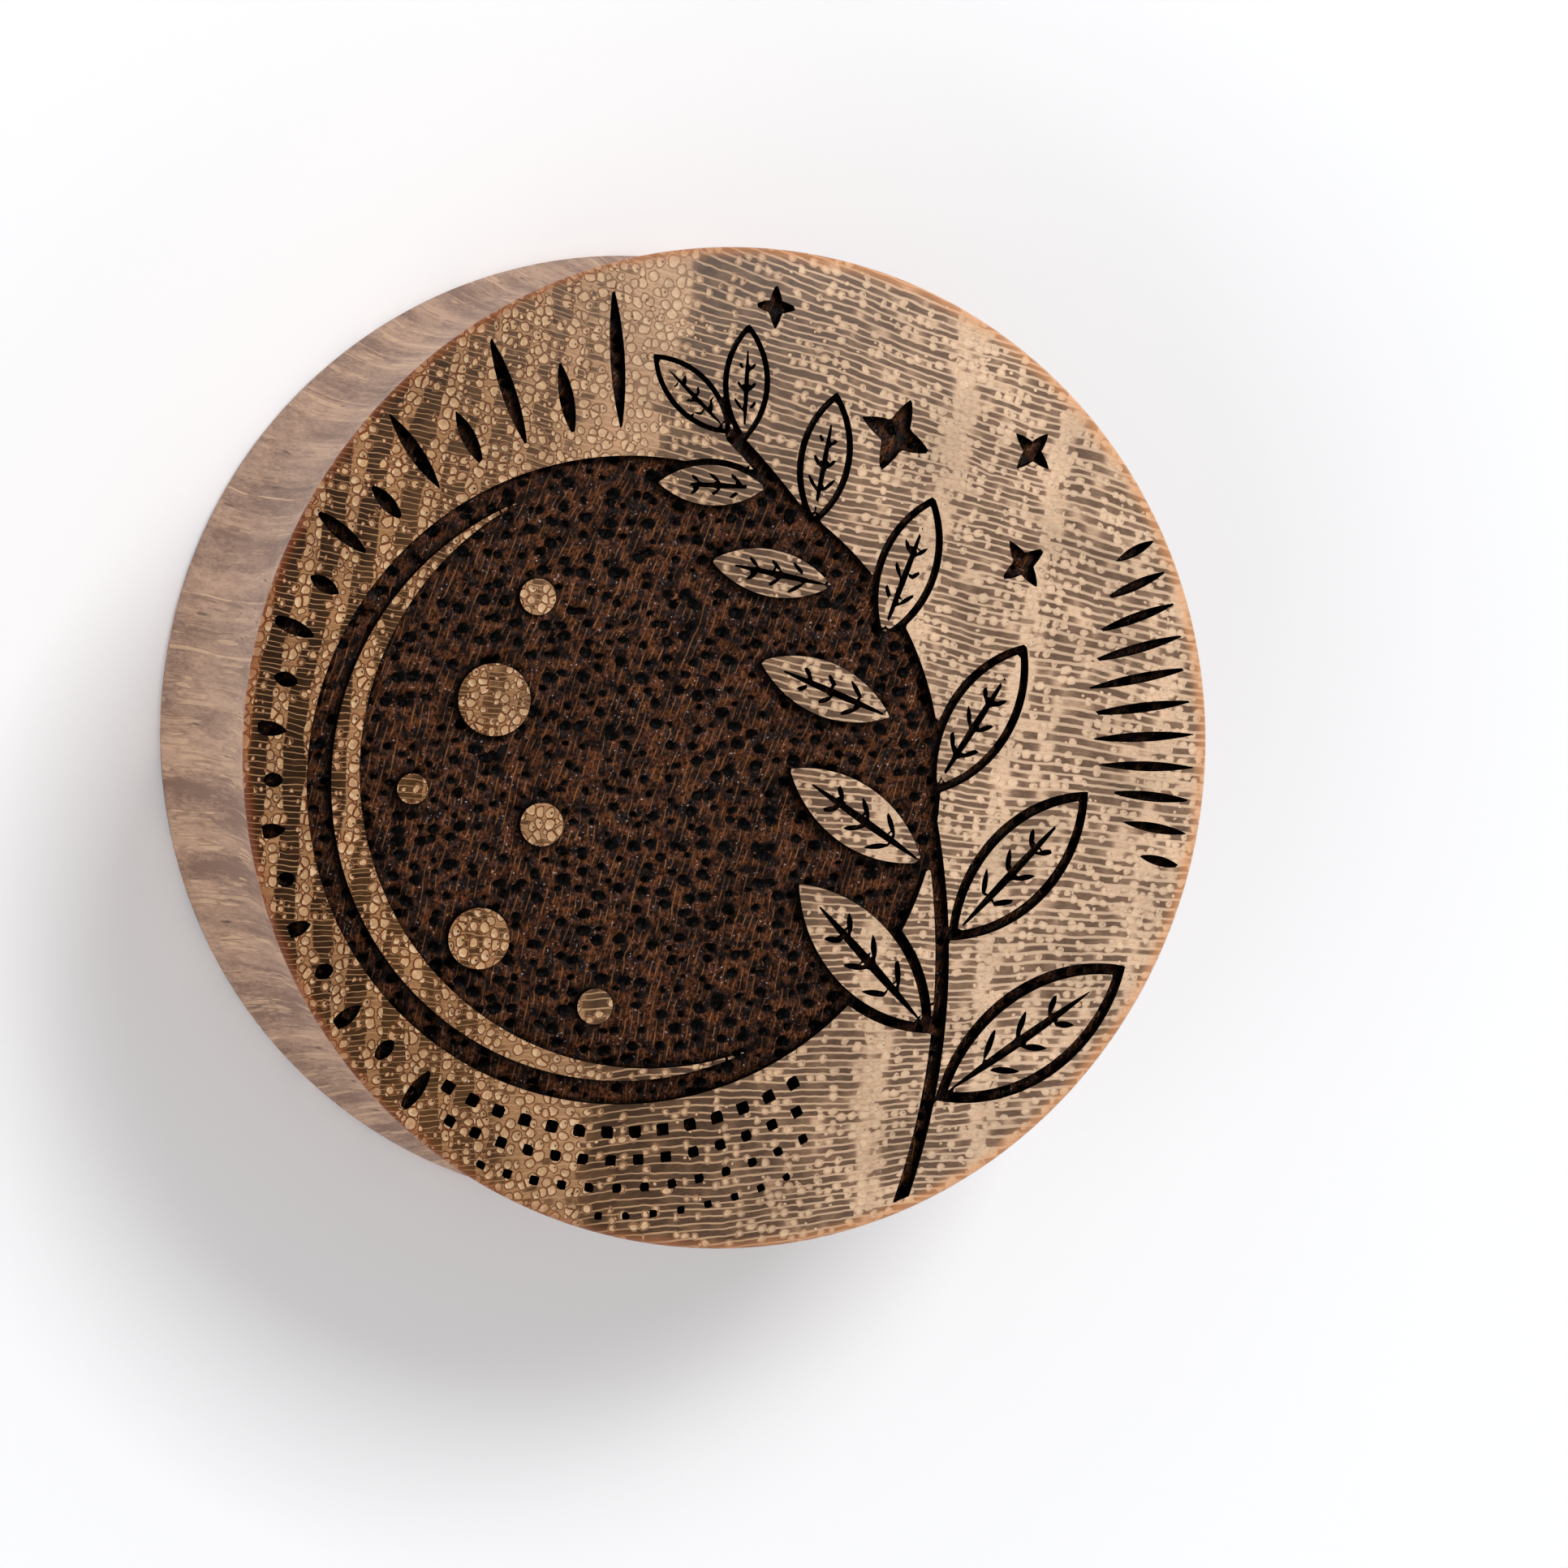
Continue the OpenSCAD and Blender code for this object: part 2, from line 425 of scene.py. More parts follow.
@dataclass
class Patch:
    """Faces under construction: shared vertices, and blocks of faces with surface and spots.

    A vertex is a row of six numbers: place, place among the spots, and depth.
    """

    points: list
    blocks: list
    count: int = 0

    def add_points(self, points: Array) -> Array:
        """Adds vertices, one to a row, and returns their numbers."""
        self.points.append(points)
        self.count += len(points)
        return np.arange(self.count - len(points), self.count)

    def add_faces(self, corners: Array, surface: Surface, spots: Scatter | None = None) -> None:
        """Adds one face for each row of corner numbers."""
        if len(corners):
            self.blocks.append((np.asarray(corners), surface, spots))

    def mesh(self, name: str) -> bpy.types.Mesh:
        """Makes the mesh in metres, with its attributes and surfaces.

        Args:
            name: Name of the new mesh.

        Returns:
            The mesh, smooth but for its sharp edges.
        """
        table = np.concatenate(self.points)
        among = table[:, 3] + 1j * table[:, 4]
        sizes = np.concatenate([np.full(len(c), c.shape[1]) for c, _, _ in self.blocks])
        kinds = np.concatenate([np.full(len(c), surface.value) for c, surface, _ in self.blocks])
        loops = np.concatenate([c.ravel() for c, _, _ in self.blocks])
        near = np.concatenate([
            spots.at_corners(among[c]) if spots else np.zeros((c.size, 3)) for c, _, spots in self.blocks
        ])
        made = bpy.data.meshes.new(name)
        made.vertices.add(len(table))
        made.vertices.foreach_set("co", (table[:, :3] * MM).astype(np.float32).ravel())
        made.loops.add(len(loops))
        made.loops.foreach_set("vertex_index", loops.astype(np.int32))
        made.polygons.add(len(sizes))
        made.polygons.foreach_set("loop_start", (np.cumsum(sizes) - sizes).astype(np.int32))
        made.polygons.foreach_set("material_index", kinds.astype(np.int32))
        made.update(calc_edges=True)
        layer = made.attributes.new(SPOT, "FLOAT_VECTOR", "CORNER")
        layer.data.foreach_set("vector", near.astype(np.float32).ravel())
        layer = made.attributes.new(DEPTH, "FLOAT", "POINT")
        layer.data.foreach_set("value", table[:, 5].astype(np.float32))
        made.validate()
        made.shade_smooth()
        made.set_sharp_from_angle(angle=SHARP_ANGLE)
        return made


@dataclass(frozen=True)
class Plug:
    """The turned plug, lying on its flat back, in millimetres."""

    gauge_r: float
    rim_to_rim: float
    flare_h: float = 0.9
    dome_h: float = 1.5
    front_edge: float = 0.2
    back_edge: float = 0.3
    cells: int = 248
    barrel_rows: int = 11
    back_insets: tuple = (0.3, 1.2)
    edge_rows: int = 3
    halvings: int = 9
    # How near to a grid point a crossing may lie, as a share of the side
    crossing_share: tuple = (0.03, 0.97)
    floor_rough: float = 0.015
    pore_depth: float = 0.22
    pore_pitch: complex = 0.72 + 0.56j
    pore_blur: float = 0.22
    pore_bend: float = 0.2
    bend_scale: float = 0.6
    grain_scales: tuple = (2.6, 1.3)
    pores: Scatter = Scatter(0.94, (0.16, 0.38), Seed.PORES, jitter=0.8)
    slit_pitch: float = 0.75
    slit_stretch: float = 9.0
    slit_depth: float = 0.08
    slit_blur: float = 0.15
    slit_sway: float = 0.2
    # Columns of slits to one bump of their sway across, and bumps to a slit's length
    sway_columns: int = 6
    sway_bumps: float = 3
    slit_share: float = 0.26
    slit_radii: tuple = (0.04, 0.085)
    streak_depth: float = 0.012
    wave_depth: float = 0.03
    wave_pitch: float = 9
    waves: int = 9
    # Distance from both rims without relief, and over which it then sets in
    plain: float = 0.4
    onset: float = 0.8

    @property
    def flare_r(self) -> float:
        """Radius of both rims."""
        return self.gauge_r + self.flare_h

    @property
    def dome_r(self) -> float:
        """Radius of the ball that the face is a part of."""
        return (self.flare_r**2 + self.dome_h**2) / (2 * self.dome_h)

    @property
    def waist_arc_r(self) -> float:
        """Radius of the arc that runs from rim to rim."""
        return ((self.rim_to_rim / 2) ** 2 + self.flare_h**2) / (2 * self.flare_h)

    def dome_z(self, r: Array) -> Array:
        """Height of the domed face at a distance from the axis."""
        return self.rim_to_rim + self.dome_h - self.dome_r + np.sqrt(self.dome_r**2 - r**2)

    def edge_arc(self, radius: float, front: bool) -> tuple[complex, complex, complex]:
        """A rounded edge, as points in the half section, r + i z.

        Its middle is its own radius inside the face and outside the waist's arc, so it
        lies where two circles cross, or a circle and a line at the back.

        Args:
            radius: Radius of the rounding.
            front: True at the domed face, False at the flat back.

        Returns:
            The arc's middle, and where it touches the face and the barrel.
        """
        waist = complex(self.gauge_r + self.waist_arc_r, self.rim_to_rim / 2)
        reach = self.waist_arc_r + radius
        if front:
            ball = 1j * (self.rim_to_rim + self.dome_h - self.dome_r)
            inner = self.dome_r - radius
            gap = abs(waist - ball)
            along = (inner**2 - reach**2 + gap**2) / (2 * gap)
            step = (waist - ball) / gap
            middle = ball + step * complex(along, math.sqrt(inner**2 - along**2))
            touch = ball + (middle - ball) * self.dome_r / inner
        else:
            middle = complex(waist.real - math.sqrt(reach**2 - (waist.imag - radius) ** 2), radius)
            touch = complex(middle.real, 0)
        return middle, touch, waist + (middle - waist) * self.waist_arc_r / reach

    def half_section(self) -> Array:
        """Points of the barrel's section from the face to the back, r + i z.

        Each rounded edge and the waist are arcs, with even steps of angle.
        """
        waist = complex(self.gauge_r + self.waist_arc_r, self.rim_to_rim / 2)
        front, back = self.edge_arc(self.front_edge, True), self.edge_arc(self.back_edge, False)
        arcs = (
            (front[0], front[1], front[2], self.edge_rows),
            (waist, front[2], back[2], self.barrel_rows),
            (back[0], back[2], back[1], self.edge_rows),
        )
        parts = []
        for middle, start, end, steps in arcs:
            turn = np.angle((end - middle) / (start - middle))
            share = np.linspace(0, 1, steps + 1)[1:]
            parts.append(middle + (start - middle) * np.exp(1j * turn * share))
        return np.concatenate(parts)

    def among_pores(self, p: Array) -> Array:
        """Points of the face as places among the burnt floor's pores."""
        bent = p * self.bend_scale
        bend = self.pore_bend * soft_noise(bent.real, bent.imag, Seed.FLOOR_BEND)
        return p.real / self.pore_pitch.real + 1j * p.imag / self.pore_pitch.imag + bend * (1 - 0.5j)

    def floor_drop(self, p: Array) -> Array:
        """How far pores and roughness lower the engraving's floor."""
        across, along = self.grain_scales
        rough = soft_noise(p.real * across + p.imag, p.imag * along, Seed.FLOOR_GRAIN)
        rough = rough + soft_noise(p.real, p.imag, Seed.FLOOR_WAVE)
        sunk = self.pores.inside(self.among_pores(p), self.pore_blur)
        return self.pore_depth * sunk + self.floor_rough * rough

    def crossings(
        self, design: Engraving, near: Array, far: Array, near_s: Array, far_s: Array
    ) -> Array:
        """Where the design's edge crosses grid sides, by halving each side again and again.

        Args:
            design: What is cut.
            near: One end of each side.
            far: The other end.
            near_s: Signed distance from the design at the near ends.
            far_s: Signed distance at the far ends.

        Returns:
            The places of the crossings.
        """
        low, high = near.copy(), far.copy()
        sign = np.sign(near_s)
        guess = near + (far - near) * near_s / (near_s - far_s)
        for _ in range(self.halvings):
            same = np.sign(design.signed(guess)) == sign
            low, high = np.where(same, guess, low), np.where(same, high, guess)
            guess = (low + high) / 2
        share = np.clip(abs(guess - near) / abs(far - near), *self.crossing_share)
        return near + (far - near) * share

    def face(self, patch: Patch, design: Engraving) -> Array:
        """Builds the engraved face and returns its boundary, counterclockwise.

        A square grid is bent into a disc: x = u sqrt(1 - v^2 / 2), y = v sqrt(1 - u^2 / 2).
        Points where the design's signed distance is negative lie on the floor. A cell that
        the design's edge crosses is split there, and a wall joins the two levels.

        Args:
            patch: Takes the points and faces.
            design: What is cut.

        Returns:
            The numbers of the boundary's points.
        """
        n = self.cells
        radius = self.edge_arc(self.front_edge, True)[1].real
        side = np.linspace(-1, 1, n + 1)
        u, v = np.meshgrid(side, side, indexing="ij")
        grid = radius * (u * np.sqrt(1 - v * v / 2) + 1j * v * np.sqrt(1 - u * u / 2))
        signed = design.signed(grid)
        stands = signed > 0
        level = self.dome_z(abs(grid))
        z = np.where(stands, level, level - design.depth - self.floor_drop(grid))
        vertices = rows(grid, z, self.among_pores(grid), np.where(stands, 0.0, 1.0 - signed))
        ids = patch.add_points(vertices).reshape(n + 1, n + 1)

        tops, bottoms = [], []
        whole, lower_part, upper_part = slice(None), slice(0, n), slice(1, None)
        for near, far in (
            ((lower_part, whole), (upper_part, whole)),
            ((whole, lower_part), (whole, upper_part)),
        ):
            cut = stands[near] != stands[far]
            ends = (values[end][cut] for values in (grid, signed) for end in (near, far))
            at = self.crossings(design, *ends)
            height, among = self.dome_z(abs(at)), self.among_pores(at)
            top = rows(at, height, among, np.zeros(len(at)))
            bottom = rows(at, height - design.depth, among, np.ones(len(at)))
            for store, points in ((tops, top), (bottoms, bottom)):
                numbers = np.full(cut.shape, -1)
                numbers[cut] = patch.add_points(points)
                store.append(numbers)

        corners = [ids[:-1, :-1], ids[1:, :-1], ids[1:, 1:], ids[:-1, 1:]]
        upper, lower = (
            np.stack([*corners, a[:, :-1], b[1:, :], a[:, 1:], b[:-1, :]], axis=-1).reshape(-1, 8)
            for a, b in (tops, bottoms)
        )
        code = sum(
            (stands[i:n + i, j:n + j].astype(int) << k)
            for k, (i, j) in enumerate(((0, 0), (1, 0), (1, 1), (0, 1)))
        ).ravel()
        self.add_cells(patch, upper, lower, code)
        return np.concatenate([ids[:-1, 0], ids[-1, :-1], ids[:0:-1, -1], ids[0, :0:-1]])

    def add_cells(self, patch: Patch, upper: Array, lower: Array, code: Array) -> None:
        """Adds the faces of the grid's cells: what stands, the floor, and the walls between.

        Args:
            patch: Takes the faces.
            upper: Each cell's corners and crossings, one cell to a row, at the face's level.
            lower: The same at the floor's level.
            code: Which of its corners stand, for each cell.
        """
        for case in range(16):
            high, deep = upper[code == case], lower[code == case]
            for ring in cell_rings(case, True):
                patch.add_faces(high[:, ring], Surface.FACE)
                for a, b in zip(ring, ring[1:] + ring[:1]):
                    if a > 3 and b > 3:
                        wall = np.stack([high[:, b], high[:, a], deep[:, a], deep[:, b]], axis=-1)
                        patch.add_faces(wall, Surface.ENGRAVED)
            for ring in cell_rings(case, False):
                patch.add_faces(deep[:, ring], Surface.ENGRAVED, self.pores)

    def barrel_relief(self, theta: Array, line: Array) -> tuple[Array, Array, Scatter]:
        """Radius of the barrel with its fine relief: slits, streaks and a slight wave.

        Slits of the long grain are stretched spots on the unrolled barrel.

        Args:
            theta: Angle of each point round the axis.
            line: The point of the half section that it belongs to, r + i z.

        Returns:
            The radius, the place among the slits, and the slits.
        """
        turn = theta / (2 * math.pi)
        bumps = round(2 * math.pi * self.gauge_r / self.slit_pitch / self.sway_columns)
        columns = self.sway_columns * bumps
        slits = Scatter(self.slit_share, self.slit_radii, Seed.SLITS, columns)
        round_it = (turn + 0.5) * columns
        along = line.imag / (self.slit_pitch * self.slit_stretch)
        sway = soft_noise(round_it / self.sway_columns, along * self.sway_bumps, Seed.SLIT_SWAY, bumps)
        among = round_it + self.slit_sway * sway + 1j * along
        streak = soft_noise(round_it * 1.5, along, Seed.STREAKS, columns * 3 // 2) * self.streak_depth
        wave = soft_noise((turn + 0.5) * self.waves, line.imag / self.wave_pitch, Seed.WAVE, self.waves)
        from_rim = np.minimum(line.imag - self.plain, self.rim_to_rim - self.plain - line.imag)
        inside = np.clip(from_rim / self.onset, 0, 1)
        radius = line.real - inside * (self.slit_depth * slits.inside(among, self.slit_blur) - streak)
        radius = radius + wave * self.wave_depth - self.wave_depth
        return np.where(line.imag <= 0, line.real, radius), among, slits

    def barrel(self, patch: Patch, rim: Array) -> None:
        """Carries the half section round the axis, from the face's boundary to the back.

        Each point is r(z) plus a small relief, at the boundary point's own angle. Rings
        inside the back's outline keep its shading flat.

        Args:
            patch: Takes the points and faces.
            rim: Numbers of the face's boundary points.
        """
        boundary = np.concatenate(patch.points)[rim]
        angle = np.arctan2(boundary[:, 1], boundary[:, 0])
        theta, line = np.meshgrid(angle, self.half_section())
        radius, among, slits = self.barrel_relief(theta, line)
        around = radius * np.exp(1j * theta)
        flat = np.zeros(len(rim))
        rings = [rim]
        for place, z, among_slits in zip(around, line.imag, among):
            rings.append(patch.add_points(rows(place, z, among_slits, flat)))
        for index, (upper, lower) in enumerate(zip(rings, rings[1:])):
            edge = index < self.edge_rows or index >= len(rings) - 1 - self.edge_rows
            patch.add_faces(strip(upper, lower), Surface.FACE if edge else Surface.BARREL, slits)
        outer = around[-1]
        for inset in self.back_insets:
            inner = outer * (1 - inset / abs(outer))
            rings.append(patch.add_points(rows(inner, flat, inner, flat)))
            patch.add_faces(strip(*rings[-2:]), Surface.FACE)
        patch.add_faces(rings[-1][::-1][None, :], Surface.FACE)

    def build(self, design: Engraving, finishes: list) -> bpy.types.Object:
        """Makes the plug as one closed piece and dresses it.

        Args:
            design: What is engraved.
            finishes: The materials, in the order of Surface.

        Returns:
            The piece.
        """
        patch = Patch([], [])
        rim = self.face(patch, design)
        self.barrel(patch, rim)
        piece = add_object("engraved_plug", patch.mesh("engraved_plug"))
        for finish in finishes:
            piece.data.materials.append(finish)
        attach(piece, "root")
        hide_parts("plug")
        return piece


def rows(p: Array, z: Array, among: Array, depth: Array) -> Array:
    """Table of vertices: place, place among the spots and depth, one vertex to a row."""
    return np.stack([p.real, p.imag, z, among.real, among.imag, depth], axis=-1).reshape(-1, 6)


def strip(upper: Array, lower: Array) -> Array:
    """Corners of the four sided faces between two closed rings of points."""
    return np.stack([upper, lower, np.roll(lower, -1), np.roll(upper, -1)], axis=-1)


def cell_rings(case: int, standing: bool) -> list[list[int]]:
    """Outlines of the standing or the cut part of a grid cell.

    Numbers 0 to 3 are the cell's corners, counterclockwise, and 4 to 7 the crossings on
    the sides that start at them. Where two opposite corners stand, they stay apart.

    Args:
        case: Sum of 2^k over the corners k that stand.
        standing: Which part.

    Returns:
        One ring of numbers for each outline.
    """
    here = [bool(case >> k & 1) == standing for k in range(4)]
    if standing and case in SADDLES:
        return [[k, 4 + k, 4 + (k + 3) % 4] for k in range(4) if here[k]]
    ring = []
    for k in range(4):
        if here[k]:
            ring.append(k)
        if here[k] != here[(k + 1) % 4]:
            ring.append(4 + k)
    return [ring] if ring else []


def operator(name: str, swapped: bool = False) -> Callable[["Term", "Value"], "Term"]:
    """A method that feeds two values to a Math node, the other way round if swapped."""

    def apply(term: "Term", other: "Value") -> "Term":
        """The Math node's result."""
        return term.graph.math(name, *((other, term) if swapped else (term, other)))

    return apply


@dataclass(frozen=True, eq=False)
class Term:
    """An output of a node. Its sums, differences, products and quotients are new nodes."""

    graph: "Graph"
    socket: Socket
    __add__ = operator("ADD")
    __sub__ = operator("SUBTRACT")
    __rsub__ = operator("SUBTRACT", True)
    __mul__ = operator("MULTIPLY")
    __truediv__ = operator("DIVIDE")
    __rtruediv__ = operator("DIVIDE", True)

    def between(self, low: "Value", high: "Value") -> "Term":
        """Goes evenly from low where the term is 0 to high where it is 1."""
        return self.graph.math("MULTIPLY_ADD", self, high - low, low)

    def steps(self, low: "Value", high: "Value") -> "Term":
        """Rises smoothly from 0 where the term is low to 1 where it is high."""
        node = self.graph.add("MapRange", interpolation_type="SMOOTHSTEP")
        self.graph.feed(node, Value=self, From_Min=low, From_Max=high)
        return self.graph.terms(node)["Result"]

    def fade(self, low: "Value", high: "Value") -> "Term":
        """Falls smoothly from 1 where the term is low to 0 where it is high."""
        return 1.0 - self.steps(low, high)


Value = Term | Colour | float
Terms = dict[str, Term]


@dataclass
class Graph:
    """Short calls that add nodes to one node tree."""

    tree: Tree

    def plug(self, socket: Socket, value: Value) -> None:
        """Links a socket to a term, or sets its value."""
        if isinstance(value, Term):
            self.tree.links.new(value.socket, socket)
        else:
            socket.default_value = value

    def feed(self, node: Node, **values: Value) -> Node:
        """Links or sets inputs of a node, by name with _ for a blank."""
        for name, value in values.items():
            self.plug(node.inputs[name.replace("_", " ")], value)
        return node

    def add(self, kind: str, *values: Value, **settings: object) -> Node:
        """Adds a shader node, and links or sets its first inputs and its properties."""
        node = self.tree.nodes.new(f"ShaderNode{kind}")
        for name, value in settings.items():
            setattr(node, name, value)
        for socket, value in zip(node.inputs, values):
            self.plug(socket, value)
        return node

    def terms(self, node: Node) -> Terms:
        """A node's outputs by name."""
        return {socket.name: Term(self, socket) for socket in node.outputs}

    def math(self, operation: str, *values: Value) -> Term:
        """A Math node's result."""
        return self.terms(self.add("Math", *values, operation=operation))["Value"]

    def greater(self, first: Value, second: Value) -> Term:
        """The greater of two values."""
        return self.math("MAXIMUM", first, second)

    def vector(self, operation: str, *values: Value) -> Terms:
        """What a Vector Math node gives, as Vector or as Value."""
        return self.terms(self.add("VectorMath", *values, operation=operation))

    def length(self, x: Term, y: Term) -> Term:
        """Length of a flat vector."""
        return self.vector("LENGTH", self.join(x, y))["Value"]

    def scaled(self, vector: Term, factor: Value) -> Term:
        """A vector times a number."""
        node = self.add("VectorMath", vector, operation="SCALE")
        return self.terms(self.feed(node, Scale=factor))["Vector"]

    def join(self, x: Value, y: Value, z: Value = 0.0) -> Term:
        """A vector from its parts."""
        return self.terms(self.add("CombineXYZ", x, y, z))["Vector"]

    def split(self, vector: Term) -> tuple[Term, ...]:
        """The parts of a vector."""
        return tuple(self.terms(self.add("SeparateXYZ", vector)).values())

    def noise(self, place: Term, scale: float, detail: float = 1.0) -> Term:
        """A Noise Texture's value, from 0 to 1."""
        node = self.feed(self.add("TexNoise"), Vector=place, Scale=scale, Detail=detail)
        return Term(self, node.outputs[0])

    def sway(self, place: Term, scale: float, reach: float, detail: float = 1.0) -> Term:
        """Noise centred on zero, with its scale and its reach."""
        return (self.noise(place, scale, detail) - 0.5) * reach

    def patches(self, place: Term, scale: float, detail: float, *edge: float) -> Term:
        """Patches of noise with a soft edge."""
        return self.noise(place, scale, detail).steps(*edge)

    def drawn(self, parts: tuple, scales: tuple) -> Term:
        """A place for noise, with a scale of its own in each direction."""
        return self.join(*(part * scale for part, scale in zip(parts, scales)))

    def cells(self, feature: str, spread: float, **place: Value) -> Terms:
        """A Voronoi Texture with unit cells, along a W or over a Vector."""
        kind = "1D" if "W" in place else "2D"
        node = self.add("TexVoronoi", voronoi_dimensions=kind, feature=feature)
        return self.terms(self.feed(node, Scale=1.0, Randomness=spread, **place))

    def attribute(self, name: str) -> Terms:
        """An attribute of the mesh, as Vector or as Fac."""
        return self.terms(self.add("Attribute", attribute_name=name))

    def spot_gap(self) -> Term:
        """Distance to the edge of the nearest spot that the mesh carries, in its own units."""
        x, y, radius = self.split(self.attribute(SPOT)["Vector"])
        return self.length(x, y) - radius

    def mix(self, factor: Value, first: Value, second: Value, blend: str = "MIX") -> Term:
        """Mixes two colours."""
        node = self.add("Mix", data_type="RGBA", blend_type=blend)
        for index, value in zip(MIX_INPUTS, (factor, first, second)):
            self.plug(node.inputs[index], value)
        return Term(self, node.outputs[MIX_OUTPUT])

    def dim(self, colour: Value, level: Term) -> Term:
        """A colour times a grey level."""
        return self.mix(1.0, colour, self.join(level, level, level), "MULTIPLY")

    def coats(self, colour: Value, *coats: tuple[Value, Term, Value]) -> Term:
        """Lays colours over the first, each through a mask and with a weight."""
        for coat, mask, weight in coats:
            colour = self.mix(mask * weight, colour, coat)
        return colour

    def ramp(self, value: Term, stops: list[tuple[float, float]], between: str = "LINEAR") -> Term:
        """A curve through grey stops of place and value."""
        node = self.add("ValToRGB", value)
        node.color_ramp.interpolation = between
        elements = node.color_ramp.elements
        while len(elements) < len(stops):
            elements.new(1.0)
        for element, (place, level) in zip(elements, stops):
            element.position = place
            element.color = (level, level, level, 1.0)
        return self.terms(node)["Color"]

    def group(self, tree: Tree, **values: Value) -> Terms:
        """Adds a group and returns its outputs."""
        return self.terms(self.feed(self.add("Group", node_tree=tree), **values))

    def given(self) -> Terms:
        """What the group that this graph draws is given."""
        return self.terms(self.tree.nodes["Group Input"])

    def give(self, **values: Value) -> Tree:
        """Feeds the outputs of the group that this graph draws, and returns the group."""
        self.feed(self.tree.nodes["Group Output"], **values)
        return self.tree


def new_group(name: str, inputs: dict[str, str], outputs: tuple[str, ...]) -> Graph:
    """Makes an empty node group with named sockets.

    Args:
        name: The group's name.
        inputs: Kind of each input by its name, such as "Vector".
        outputs: Names of the outputs, which are all numbers.

    Returns:
        A graph of the group, with its input and output nodes in it.
    """
    tree = bpy.data.node_groups.new(name, "ShaderNodeTree")
    for sockets, way in ((inputs, "INPUT"), (dict.fromkeys(outputs, "Float"), "OUTPUT")):
        tree.nodes.new(f"NodeGroup{way.title()}")
        for label, kind in sockets.items():
            tree.interface.new_socket(label, in_out=way, socket_type=f"NodeSocket{kind}")
    return Graph(tree)


